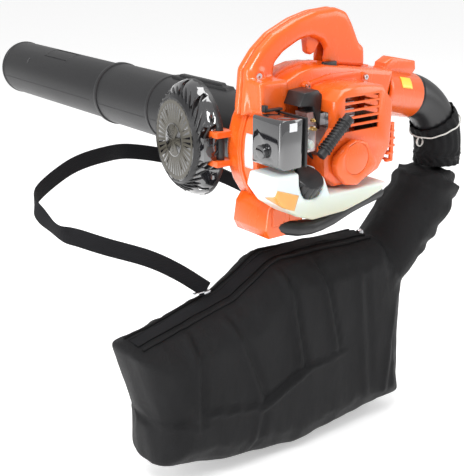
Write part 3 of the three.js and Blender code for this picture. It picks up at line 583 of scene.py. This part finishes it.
# ------------------------------------------------------------------ camera, light and floor
def camera():
    data = bpy.data.cameras.new("camera")
    made = bpy.data.objects.new("camera", data)
    bpy.context.scene.collection.objects.link(made)
    made.location = at(-1071.99, -1225.35, 382.21)
    made.rotation_mode = "QUATERNION"
    made.rotation_quaternion = Vector((0.5777, 0.7528, -0.3157)).to_track_quat("-Z", "Y")
    data.lens = 79.87
    data.sensor_width = 36
    bpy.context.scene.camera = made


def lamp(name, place, target, size, power, tall=None):
    data = bpy.data.lights.new(name, "AREA")
    data.shape = "RECTANGLE"
    data.size = size
    data.size_y = tall or size
    data.energy = power
    made = bpy.data.objects.new(name, data)
    bpy.context.scene.collection.objects.link(made)
    made.location = place
    made.rotation_mode = "QUATERNION"
    made.rotation_quaternion = (Vector(target) - Vector(place)).to_track_quat("-Z", "Y")


def studio():
    world = bpy.data.worlds.new("studio")
    bpy.context.scene.world = world
    world.use_nodes = True
    sky = world.node_tree.nodes["Background"]
    sky.inputs["Color"].default_value = (1, 1, 1, 1)
    sky.inputs["Strength"].default_value = 0.6
    bpy.context.scene.view_settings.view_transform = "Standard"
    middle = (0, 0, -0.25)
    lamp("key", (-1.5, -1.3, 1.7), middle, 0.9, 44)
    lamp("fill", (1.9, -1.4, 0.6), middle, 1.2, 14)
    lamp("top", (0.2, 0.3, 1.9), middle, 1.4, 26)
    lamp("side strip", (-2.1, 0.2, 0.1), middle, 0.5, 22, 1.6)
    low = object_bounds()[0].z
    floor = bpy.data.meshes.new("floor")
    span = 40
    floor.from_pydata([(-span, -span, low), (span, -span, low), (span, span, low), (-span, span, low)], [], [(0, 1, 2, 3)])
    made = bpy.data.objects.new("floor", floor)
    bpy.context.scene.collection.objects.link(made)
    floor.materials.append(floor_paper())
    made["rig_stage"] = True


camera()
studio()


# ------------------------------------------------------------------ case, handle and engine
def hard_parts():
    for node in ("fan_case_intake_half", "fan_case_engine_half", "outlet_spout", "engine_shroud", "exhaust_guard"):
        crisp(node, ORANGE, 1.0)
    for node in ("starter_cover", "starter_badge"):
        crisp(node, ORANGE, 0.9)
    for node in ("handle_intake_half", "handle_engine_half"):
        melted(node, ORANGE, 2.0, 34, 0.7)
    crisp("foot", ORANGE, 2.2)
    melted("stand_bow", BLACK, 2.0, 10)
    melted("fuel_tank", TANK, 1.8, 6)
    melted("throttle_trigger", ORANGE, 1.0, 4)
    crisp("air_filter_cover", GLOSS, 3.0)
    crisp("air_filter_knob", GLOSS, 1.0)
    for node in ("air_filter_base", "choke_lever", "fuel_cap", "stop_switch"):
        crisp(node, BLACK, 0.6)
    for node in ("impeller", "starter_pulley", "ignition_coil"):
        finish_node(node, BLACK)
    for node in ("crankcase", "piston", "carburettor", "flywheel", "cylinder"):
        finish_node(node, CAST)
    for node in (
        "trigger_pin", "guard_hinge_pin", "piston_pin", "connecting_rod", "crank_pin", "crankshaft_starter_side",
        "crankshaft_fan_side", "bearing_starter_side", "bearing_fan_side", "impeller_nut", "recoil_spring",
        "spark_plug", "shroud_screw_1", "shroud_screw_2", "handle_screw",
    ):
        finish_node(node, STEEL)
    finish_node("muffler", HOT)
    finish_node("air_filter_element", FOAM)
    for node in ("plug_boot", "fuel_line", "starter_rope"):
        finish_node(node, GRIP)
    finish_node("primer_bulb", TANK)


def carburettor_fittings():
    """Small brass and steel fittings on the side of the carburettor."""
    low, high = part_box("carburettor")
    near = low.y
    middle = (low + high) / 2
    parts = []
    for name, x, z, r, reach, finish in (
        ("idle_screw", -66, 50, 3.2, 9, BRASS),
        ("mixture_screw", -66, 62, 2.6, 7, BRASS),
        ("throttle_shaft_end", -78, 44, 4.5, 5, STEEL),
    ):
        base = at(x, 0, z)
        base.y = near
        profile = [(0.01, -1), (r, -1), (r, reach * 0.55), (r * 0.7, reach * 0.6), (r * 0.7, reach), (0.01, reach)]
        parts.append(turned(name, profile, base, (0, -1, 0), finish, "housing", 24))
    return parts


def labels():
    case = surface(bpy.data.objects["fan_case_engine_half_finished"])
    away = (0, 1, 0)
    white = plain_label("blank white label", (0.72, 0.73, 0.75), (0.6, 0.61, 0.63))
    yellow = plain_label("plain yellow label", (0.86, 0.62, 0.06), (0.8, 0.54, 0.04))
    amber = plain_label("plain amber label", (0.75, 0.36, 0.08), (0.66, 0.3, 0.06))
    case_spot = at(-116, -24, 8)
    patch("case_label", case, case_spot, Vector((3, -9, 0)) * MM, Vector((2, 0, 26)) * MM, (1, 0.3, 0), white, "housing")
    spout = surface(bpy.data.objects["outlet_spout_finished"])
    toward = Vector((0, 1, -0.75))
    patch(
        "spout_label", spout, at(201, -38, 80), Vector((12, 0, -2.5)) * MM, Vector((1.5, 6, 7.5)) * MM, toward, yellow,
        "housing",
    )
    cover = surface(bpy.data.objects["air_filter_cover_finished"])
    patch("filter_label", cover, at(-120, -126, 62), Vector((7, 0, 0)) * MM, Vector((0, 0, 6)) * MM, away, white, "filter_cover")
    tank = surface(bpy.data.objects["fuel_tank_finished"])
    patch(
        "tank_label", tank, at(-132, -125, -42), Vector((20, 0, -7)) * MM, Vector((4, 0, 11)) * MM, (0.35, 1, 0.12), amber,
        "housing",
    )
    foot = surface(bpy.data.objects["foot_finished"])
    patch(
        "foot_panel", foot, at(-86, -61, -90), Vector((17, 0, 0)) * MM, Vector((0, 0, 15)) * MM, away, ORANGE, "housing", 1.2,
    )


def starter_grip():
    """The pull handle: a soft black bar with flared ends and ribs round it."""
    made = melted("starter_grip", GRIP, 1.2, 4)
    low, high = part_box("starter_grip")
    along = Vector((0.738, 0, 0.674)).normalized()
    middle = (low + high) / 2
    ribs = []
    for i in range(11):
        shift = (i - 5) * 5.2
        wide = 9.6 + 0.05 * (i - 5) ** 2
        profile = [(wide - 2.5, -1.1), (wide - 0.5, -0.9), (wide, 0), (wide - 0.5, 0.9), (wide - 2.5, 1.1)]
        ribs.append(turned("grip_rib", profile, middle + along * shift * MM, along, GRIP, "starter_grip", 28))
    merge("starter_grip_ribs", ribs, GRIP, "starter_grip")
    return made


def block_of(name, outline, low, high, finish, body, edge=1.5):
    """An upright slab with the given (x, z) outline between two depths, edges broken."""
    points = [at(x, y, z) for y in (low, high) for x, z in outline]
    count = len(outline)
    faces = [tuple(range(count)), tuple(range(2 * count - 1, count - 1, -1))]
    for i in range(count):
        j = (i + 1) % count
        faces.append((i, j, count + j, count + i))
    made = piece(name, points, faces, finish, body, smooth=False)
    return rounded(made, edge)


def engine_dressing():
    """The insulator block and ducting between the carburettor, the cylinder and the case, and the case's latch tabs."""
    outline = [(-40, 8), (-32, 2), (-34, 88), (-44, 96), (-66, 96), (-74, 84), (-74, 78), (-44, 76)]
    block_of("insulator_block", [(-74, 79), (-48, 77), (-42, 60), (-34, 40), (-30, 92), (-38, 100), (-64, 98)], -86, -48, BLACK, "housing")
    for number, (x, z) in enumerate(((-113, -34), (-102, -56))):
        tab = [(x - 9, z - 5), (x + 8, z - 8), (x + 9, z + 2), (x - 6, z + 6)]
        block_of(f"case_tab_{number}", tab, -47, -34, ORANGE, "housing", 1.2)
    hose_line = smooth_line([at(-58, -70, 20), at(-52, -88, 4), at(-40, -98, -12), at(-44, -100, -30)], 8)
    cordage("fuel_return_hose", hose_line, 2.4, GRIP, "housing", 12)


# ------------------------------------------------------------------ tubes and elbow
def tube_profile(radius, wall, start, end, rings):
    line = [(radius, start)]
    for low, high, rise in rings:
        line += [(radius, low), (radius + rise * 0.8, low + 0.6), (radius + rise, low + 1.6), (radius + rise, high - 1.6)]
        line += [(radius + rise * 0.8, high - 0.6), (radius, high)]
    line += [(radius, end - 0.8), (radius - 0.8, end), (radius - wall, end), (radius - wall, start)]
    return line


def tubes():
    low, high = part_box("near_tube")
    far_low, far_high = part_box("far_tube")
    near_start = low.y / MM
    near_end = high.y / MM
    far_end = far_high.y / MM
    axis = Vector((CRANK.x, 0, CRANK.z)) * MM
    rings = [(345 + 4, 353 + 4, 1.6), (near_end - 12, near_end - 2, 2.2)]
    near = turned("near_tube_shell", tube_profile(58, 2.5, near_start, near_end - 0.1, rings), axis, (0, 1, 0), TUBE, "near_tube", 96)
    sight = [(far_end - 9, far_end - 3, 1.1)]
    far_profile = tube_profile(55, 2.5, near_end + 22, far_end, sight)
    neck = [(52.5, far_low.y / MM), (54.0, far_low.y / MM), (54.0, near_end + 16)]
    far_profile = [far_profile[0], *far_profile[1:-1], *neck]
    far = turned("far_tube_shell", far_profile, axis, (0, 1, 0), TUBE, "far_tube", 96)
    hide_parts("near_tube")
    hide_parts("far_tube")
    tube_rail()
    tube_marks(near_start, near_end, far_end)


def strip_on_tube(name, radius, angle, half_angle, start, end, rise, body, parts=6):
    """A raised strip along a tube, with sloped ends and sides."""
    points = []
    faces = []
    rows = [(start, 0), (start + rise * 1.5, 1), (end - rise * 1.5, 1), (end, 0)]
    for y, full in rows:
        for i in range(parts + 3):
            edge = i in (0, parts + 2)
            t = min(max((i - 1) / parts, 0), 1) * 2 - 1
            spread = half_angle * (1 if edge else 0.9)
            turn = angle + t * spread * (1 if not edge else 1)
            r = radius - 1 if edge else radius + (rise if full else -1)
            points.append((Vector((math.sin(turn) * r, y, math.cos(turn) * r)) + Vector((CRANK.x, 0, CRANK.z))) * MM)
    wide = parts + 3
    for k in range(3):
        for i in range(wide - 1):
            a = k * wide + i
            faces.append((a, a + 1, a + wide + 1, a + wide))
    made = piece(name, points, faces, TUBE, body, smooth=False)
    return made


def tube_rail():
    """The stepped rail on top of the near tube."""
    members = [
        strip_on_tube("rail_foot", 58, 0, 0.16, 172 + 4, 340 + 4, 4.5, "near_tube"),
        strip_on_tube("rail_top", 61, 0, 0.075, 188 + 4, 324 + 4, 5.5, "near_tube", 4),
    ]
    merge("tube_rail", members, TUBE, "near_tube")


def tube_marks(near_start, near_end, far_end):
    """Seam lines, the latch window's frame and the small tick on the tubes."""
    members = []
    for angle in (1.35, -1.79):
        members.append(strip_on_tube("seam_line", 58, angle, 0.012, near_start + 30, near_end - 14, 0.5, "near_tube", 2))
    merge("near_tube_seams", members, TUBE, "near_tube")
    members = []
    for angle in (1.35, -1.79):
        members.append(strip_on_tube("seam_line", 55, angle, 0.012, near_end + 24, far_end - 12, 0.5, "far_tube", 2))
    latch = near_end + 150
    for side in (-0.30, 0.30):
        members.append(strip_on_tube("window_side", 55, side - 0.25, 0.022, latch, latch + 96, 1.2, "far_tube", 2))
    for start in (latch, latch + 92):
        members.append(strip_on_tube("window_end", 55, -0.25, 0.31, start, start + 5, 1.2, "far_tube", 6))
    members.append(strip_on_tube("tick", 55, -0.95, 0.10, far_end - 112, far_end - 106, 1.4, "far_tube", 3))
    merge("far_tube_marks", members, TUBE, "far_tube")


OUTLET_END = Vector((238, -4, 49))
OUTLET_AIM = Vector((math.cos(math.radians(12)), 0, -math.sin(math.radians(12))))
OUTLET_UP = Vector((math.sin(math.radians(12)), 0, math.cos(math.radians(12))))
BEND = 104
ELBOW = 36


def bend_line(start, end, steps, drop=22):
    """Points round the elbow's bend: 0 to 1 turns down from the outlet, past 1 drops straight."""
    centre = OUTLET_END - OUTLET_UP * BEND
    top = math.radians(78)
    line = []
    for i in range(steps + 1):
        t = start + (end - start) * i / steps
        angle = top * (1 - min(t, 1))
        spot = centre + Vector((math.cos(angle), 0, math.sin(angle))) * BEND
        spot.z -= drop * max(t - 1, 0)
        line.append(at(*spot))
    return line


def hose(name, line, radius, finish, body, sides=48, wall=0.0):
    """An open bent tube, with a wall if one is given."""
    points = []
    faces = []
    count = len(line)
    across = Vector((0, 1, 0))
    for i, here in enumerate(line):
        ahead = (line[min(i + 1, count - 1)] - line[max(i - 1, 0)]).normalized()
        other = ahead.cross(across).normalized()
        size = radius(i / (count - 1)) if callable(radius) else radius
        for k in range(sides):
            angle = 2 * math.pi * k / sides
            more = size(angle) if callable(size) else size
            points.append(here + (across * math.cos(angle) + other * math.sin(angle)) * more * MM)
    for i in range(count - 1):
        for k in range(sides):
            m = (k + 1) % sides
            faces.append((i * sides + k, i * sides + m, (i + 1) * sides + m, (i + 1) * sides + k))
    made = piece(name, points, faces, finish, body)
    if wall:
        shell = made.modifiers.new("wall", "SOLIDIFY")
        shell.thickness = wall * MM
        shell.offset = -1
        apply(made)
        for face in made.data.polygons:
            face.use_smooth = True
    return made


def elbow():
    skin = hose("elbow_shell", bend_line(0.0, 2.0, 40), lambda t: ELBOW + 1.4 * max(0, 1 - t * 9), BLACK, "elbow_and_bag", 64, 2.4)
    spigot = crisp("elbow", BLACK, 0.3)
    spigot.hide_render = False
    return skin


# ------------------------------------------------------------------ intake guard
GUARD_HINGE = Vector((-138, 40, 4))
GUARD_TURN = math.radians(82)
GUARD_MIDDLE = Vector((78, -13, 0))
RIM = 93
FACE = 66
DEEP = 40
HUB = 27


def on_guard(radius, angle, depth):
    """A place on the guard from its own middle, in metres."""
    local = GUARD_MIDDLE + Vector((math.cos(angle) * radius, depth, math.sin(angle) * radius))
    x = local.x * math.cos(GUARD_TURN) - local.y * math.sin(GUARD_TURN)
    y = local.x * math.sin(GUARD_TURN) + local.y * math.cos(GUARD_TURN)
    return at(*(GUARD_HINGE + Vector((x, y, local.z))))


def guard_ring(name, profile, finish, sides=96):
    points = []
    faces = []
    count = len(profile)
    for turn in range(sides):
        angle = 2 * math.pi * turn / sides
        points += [on_guard(r, angle, d) for r, d in profile]
        following = (turn + 1) % sides
        for i in range(count):
            j = (i + 1) % count
            faces.append((turn * count + i, following * count + i, following * count + j, turn * count + j))
    return piece(name, points, faces, finish, "guard")


def vane(name, places, wide, thick, finish, turn):
    """A blade along a run of (radius, angle, depth) places, standing on its edge."""
    points = []
    faces = []
    for radius, angle, depth in places:
        spread = thick / radius / 2
        for out, side in ((0, -1), (0, 1), (-1, 1), (-1, -1)):
            points.append(on_guard(radius + out * wide * 0.35, angle + turn + side * spread, depth + out * wide))
    for i in range(len(places) - 1):
        for k in range(4):
            m = (k + 1) % 4
            faces.append((i * 4 + k, i * 4 + m, i * 4 + 4 + m, i * 4 + 4 + k))
    faces.append((0, 1, 2, 3))
    last = (len(places) - 1) * 4
    faces.append((last, last + 1, last + 2, last + 3))
    return piece(name, points, faces, finish, "guard", smooth=False)


def guard():
    """The swung open intake guard: rim, spiral louvres, slotted disc and its hinge block."""
    rim_profile = [(RIM - 3, 0), (RIM - 0.8, 0), (RIM, 0.8), (RIM, 6), (RIM - 2, 9.5), (RIM - 5.5, 9), (RIM - 5, 5.5), (RIM - 3, 5)]
    rim = guard_ring("guard_rim", rim_profile, BLACK)
    collar = [(FACE + 6, DEEP - 8), (FACE + 7, DEEP - 6), (FACE + 1, DEEP), (FACE - 3, DEEP), (FACE - 3, DEEP - 3), (FACE, DEEP - 4)]
    shoulder = guard_ring("guard_shoulder", collar, BLACK)
    blades = []
    for i in range(34):
        turn = 2 * math.pi * i / 34
        places = []
        for k in range(7):
            t = k / 6
            depth = 7 + (DEEP - 10) * (1 - (1 - t) ** 1.7)
            places.append((RIM - 3.2 + (FACE + 4 - RIM + 3.2) * t**1.25, 0.62 * t, depth))
        blades.append(vane("louvre", places, 10, 3.4, BLACK, turn))
    louvres = merge("guard_louvres", blades, BLACK, "guard")
    hub_profile = [(0.01, DEEP - 4), (HUB, DEEP - 4), (HUB, DEEP + 0.4), (HUB - 1.5, DEEP + 1.5), (0.01, DEEP + 1.5)]
    hub = guard_ring("guard_hub", hub_profile, OLIVE, 64)
    spokes = []
    for i in range(40):
        turn = 2 * math.pi * i / 40
        places = [(HUB - 1, 0, DEEP), ((HUB + FACE) / 2, 0, DEEP + 0.2), (FACE - 2, 0, DEEP)]
        spokes.append(vane("spoke", places, 3, 4.6, OLIVE, turn))
    for radius in (HUB + 2, FACE - 6):
        ring = [(radius - 2.6, DEEP - 3), (radius + 2.6, DEEP - 3), (radius + 2.6, DEEP + 0.3), (radius - 2.6, DEEP + 0.3)]
        spokes.append(guard_ring("disc_ring", ring, OLIVE, 80))
    disc = merge("guard_disc", spokes, OLIVE, "guard")
    hinge_block()
    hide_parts("intake_guard")
    return shoulder, louvres, hub, disc


def hinge_block():
    """The black block between the rim and the hinge pin, cut from the guard's own solid."""
    mesh = nodes["intake_guard"].data.copy()
    work = bmesh.new()
    work.from_mesh(mesh)
    bmesh.ops.remove_doubles(work, verts=work.verts, dist=1e-5)
    edge = on_guard(RIM, math.pi, 0)
    pin = at(*GUARD_HINGE)
    along = (edge - pin).normalized()
    away = [f for f in work.faces if (f.calc_center_median() - edge).dot(along) > 0.004]
    bmesh.ops.delete(work, geom=away, context="FACES")
    bmesh.ops.holes_fill(work, edges=work.edges)
    work.to_mesh(mesh)
    work.free()
    made = dress("guard_hinge_block", mesh, GLOSS, "guard")
    rounded(made, 0.8)


# ------------------------------------------------------------------ bag, cuff, zip and strap
SIDE = -69  # the bag's near face
CREASES = (
    ((-243, -203), (-242, -387), 17, 3.4),
    ((-179, -226), (-117, -387), 15, 3.2),
    ((-72, -177), (-40, -346), 12, 4.6),
    ((-6, -175), (35, -338), 12, 4.2),
    ((-310, -376), (-238, -388), 8, 2.4),
    ((-238, -368), (-117, -389), 9, 3.2),
    ((-35, -349), (44, -342), 8, 3.4),
    ((-125, -387), (-37, -350), 11, 5.4),
    ((-121, -400), (-140, -470), 16, 2.2),
    ((90, -215), (112, -440), 22, 2.4),
    ((170, -300), (150, -470), 16, 2.2),
)


def crease_depth(x, z):
    """How far the cloth stands in (-) or out (+) at a place on the bag's side, in millimetres."""
    total = 0
    for (x0, z0), (x1, z1), width, depth in CREASES:
        long = math.hypot(x1 - x0, z1 - z0)
        along = ((x - x0) * (x1 - x0) + (z - z0) * (z1 - z0)) / long
        off = ((x - x0) * (z1 - z0) - (z - z0) * (x1 - x0)) / long
        inside = min(max(along / 30 + 0.5, 0), 1) * min(max((long - along) / 30 + 0.5, 0), 1)
        u = off / width
        total += inside * depth * (1.1 * math.exp(-(((off - width * 0.55) / (width * 0.45)) ** 2)) - math.exp(-((u * 2.6) ** 2)))
    return total


def bag():
    mesh = nodes["bag"].data.copy()
    made = dress("bag_cloth", mesh, CLOTH, "elbow_and_bag")
    remesh = made.modifiers.new("even", "REMESH")
    remesh.mode = "VOXEL"
    remesh.voxel_size = 0.006
    melt = made.modifiers.new("melt", "SMOOTH")
    melt.factor = 0.5
    melt.iterations = 6
    apply(made)
    inflate(made)
    drape(made)
    even = made.modifiers.new("fine", "SUBSURF")
    even.levels = 1
    even.render_levels = 1
    apply(made)
    for face in made.data.polygons:
        face.use_smooth = True
    made.data.materials.clear()
    made.data.materials.append(CLOTH)
    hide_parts("bag")
    return made


def inflate(made):
    """Fills the bag a little, as cloth, and keeps every point near where it was."""
    before = [v.co.copy() for v in made.data.vertices]
    cloth = made.modifiers.new("cloth", "CLOTH")
    rules = cloth.settings
    rules.quality = 4
    rules.mass = 0.25
    rules.tension_stiffness = 12
    rules.compression_stiffness = 8
    rules.shear_stiffness = 4
    rules.bending_stiffness = 0.3
    rules.use_pressure = True
    rules.uniform_pressure_force = 3
    rules.effector_weights.gravity = 0.0
    cloth.point_cache.frame_start = 1
    cloth.point_cache.frame_end = 20
    for step in range(1, 21):
        bpy.context.scene.frame_set(step)
    graph = bpy.context.evaluated_depsgraph_get()
    settled = bpy.data.meshes.new_from_object(made.evaluated_get(graph))
    made.modifiers.clear()
    bpy.context.scene.frame_set(1)
    neck = at(0, 0, -70).z
    for vertex, start in zip(settled.vertices, before):
        move = vertex.co - start
        most = 0.007 if start.z < neck else 0.0
        if move.length > most:
            move = move.normalized() * most if most else Vector()
        vertex.co = start + move
    made.data = settled


def drape(made):
    """Creases, folds and gathers, laid over the filled shape."""
    mesh = made.data
    mesh.calc_loop_triangles()
    normals = [v.normal.copy() for v in mesh.vertices]
    for vertex, normal in zip(mesh.vertices, normals):
        place = vertex.co / MM - CRANK
        side = abs(normal.y)
        fold = crease_depth(place.x, place.z) * side * (1.7 if normal.y < 0 else 1.1)
        hang = Vector((place.x * 0.018, place.y * 0.02, place.z * 0.006))
        soft = noise.noise(hang) * 2.4 + noise.noise(hang * 2.7 + Vector((5, 1, 2))) * 1.1
        gather = 0
        if place.x > 225 or place.z > -150:
            gather = math.sin(place.z * 0.16 + place.x * 0.05 + noise.noise(place * 0.014) * 6) * 2.6
        vertex.co += normal * (fold + soft + gather - 1.5) * MM
    return made


def on_top(ground, x, y, above=0.0):
    """The place on the bag's top above (x, y), measured from the crankshaft."""
    start = at(x, y, 0)
    spot, normal, _, _ = ground.ray_cast(start, Vector((0, 0, -1)))
    return (spot + normal * above * MM, normal) if spot is not None else (at(x, y, -170), Vector((0, 0, 1)))


def zip_and_piping(bag_piece):
    ground = surface(bag_piece)
    xs = [-318 + 8 * i for i in range(58)]
    body = "elbow_and_bag"
    rows = {}
    for name, y in (("near_piping", -30), ("near_tape", -17), ("far_tape", 9), ("far_piping", 22)):
        rows[name] = [on_top(ground, x, y, 1.2)[0] for x in xs]
    cords = []
    for name, radius in (("near_piping", 2.6), ("far_piping", 2.6), ("near_tape", 1.5), ("far_tape", 1.5)):
        cords.append(cordage(name, smooth_line(rows[name], 2), radius, CLOTH, body, 8))
    merge("bag_piping", cords, CLOTH, body)
    centre = [on_top(ground, x, -4, 1.0)[0] for x in xs]
    line = smooth_line(centre, 2)
    tape = ribbon("zip_tape", line, [Vector((0, 1, 0))] * len(line), 24, 1.2, WEBBING, body)
    teeth = []
    points = []
    faces = []
    step = 0
    fine = smooth_line(centre, 5)
    for i in range(0, len(fine) - 1):
        ahead = (fine[i + 1] - fine[i]).normalized()
        up = ahead.cross(Vector((0, 1, 0))) * -1
        side = Vector((0, 1, 0)) * (0.0012 if i % 2 else -0.0012)
        here = fine[i] + side + up * 0.0009
        first = len(points)
        for a, b, c in ((-1, -1, 0), (1, -1, 0), (1, 1, 0), (-1, 1, 0), (-1, -1, 1), (1, -1, 1), (1, 1, 1), (-1, 1, 1)):
            points.append(here + ahead * a * 0.0005 + Vector((0, 1, 0)) * b * 0.0024 + up * c * 0.0011)
        for face in ((0, 3, 2, 1), (4, 5, 6, 7), (0, 1, 5, 4), (1, 2, 6, 5), (2, 3, 7, 6), (3, 0, 4, 7)):
            faces.append(tuple(first + k for k in face))
    teeth = piece("zip_teeth", points, faces, BLACK, body, smooth=False)
    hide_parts("zip_track")
    end = line[-1]
    cap = turned("zip_stop", [(0.01, -4), (5.5, -4), (6.5, -2), (6.5, 3), (4.5, 5), (0.01, 5)], end, (1, 0, 0.1), STEEL, body, 24)
    crisp("zip_pull", STEEL, 0.5)
    return tape, teeth, cap


def cuff():
    """The gathered sleeve on the elbow, with its hem channel and draw cord."""
    start = 0.56
    line = bend_line(start, 2.2, 44)

    def size(t):
        hem = 2.2 * math.exp(-(((t - 0.06) / 0.05) ** 2)) + 1.6 * math.exp(-(((t - 0.52) / 0.05) ** 2))

        def around(angle):
            gather = math.sin(angle * 17 + 2 * math.sin(t * 9)) * (0.5 + 1.2 * abs(t - 0.5))
            lump = noise.noise(Vector((math.cos(angle) * 2, math.sin(angle) * 2, t * 4))) * 1.6
            return 40 + hem + gather * 1.2 + lump

        return around

    made = hose("cuff_cloth", line, size, CLOTH, "elbow_and_bag", 96, 1.4)
    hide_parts("bag_cuff")
    drawcord()
    return made


def drawcord():
    """The thin white cord round the cuff, with its two loose ends tied in a bow."""
    ring = bend_line(0.70, 0.72, 1)
    middle = ring[0]
    ahead = (ring[1] - ring[0]).normalized()
    across = Vector((0, 1, 0))
    other = ahead.cross(across).normalized()
    line = []
    for i in range(72):
        angle = 2 * math.pi * i / 72
        wobble = 0.7 * math.sin(angle * 5) + 0.5 * math.sin(angle * 11)
        line.append(middle + (across * math.cos(angle) + other * math.sin(angle)) * 44.6 * MM + ahead * wobble * MM)
    made = cordage("white_drawcord", line, 1.3, CORD, "elbow_and_bag", 10, True)
    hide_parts("drawcord")
    knot = line[54]
    for number, lean in enumerate((-1, 1)):
        loop = []
        for i in range(26):
            t = 2 * math.pi * i / 26
            out = 3.2 + 1.2 * math.sin(t)
            loop.append(
                knot
                + other * -out * MM * 0
                + across * (-2.5 - 1.0 * math.sin(t)) * MM
                + ahead * (9 * (1 - math.cos(t)) * 0.9) * MM
                + other * (lean * 7 * math.sin(t) - 1.0) * MM
            )
        cordage(f"drawcord_loop_{number}", loop, 1.1, CORD, "elbow_and_bag", 8, True)


def strap():
    body = "elbow_and_bag"
    route = [
        (-184, -4, -203), (-236, -4, -163), (-290, -8, -129), (-348, 10, -104), (-378, 30, -91), (-400, 52, -82),
        (-415, 72, -62), (-415, 92, -44), (-388, 116, -33), (-320, 150, -18), (-244, 185, -19), (-161, 236, -36),
        (-64, 252, -66), (12, 205, -102), (38, 130, -128), (30, 56, -150),
    ]
    line = smooth_line([at(*p) for p in route], 7)
    count = len(line)
    across = []
    for i in range(count):
        t = i / (count - 1)
        lower = 1 - min(max((t - 0.26) / 0.1, 0), 1)
        twist = math.exp(-(((t - 0.35) / 0.035) ** 2))
        across.append(Vector((0.5 * lower, -1.1 * twist, 0.9 + 0.1 * math.sin(t * 9))))
    made = ribbon("strap_webbing", line, across, 25, 2.0, WEBBING, body)
    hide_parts("strap")
    return made


hard_parts()
carburettor_fittings()
labels()
starter_grip()
engine_dressing()
tubes()
elbow()
guard()
bag_piece = bag()
zip_and_piping(bag_piece)
cuff()
strap()
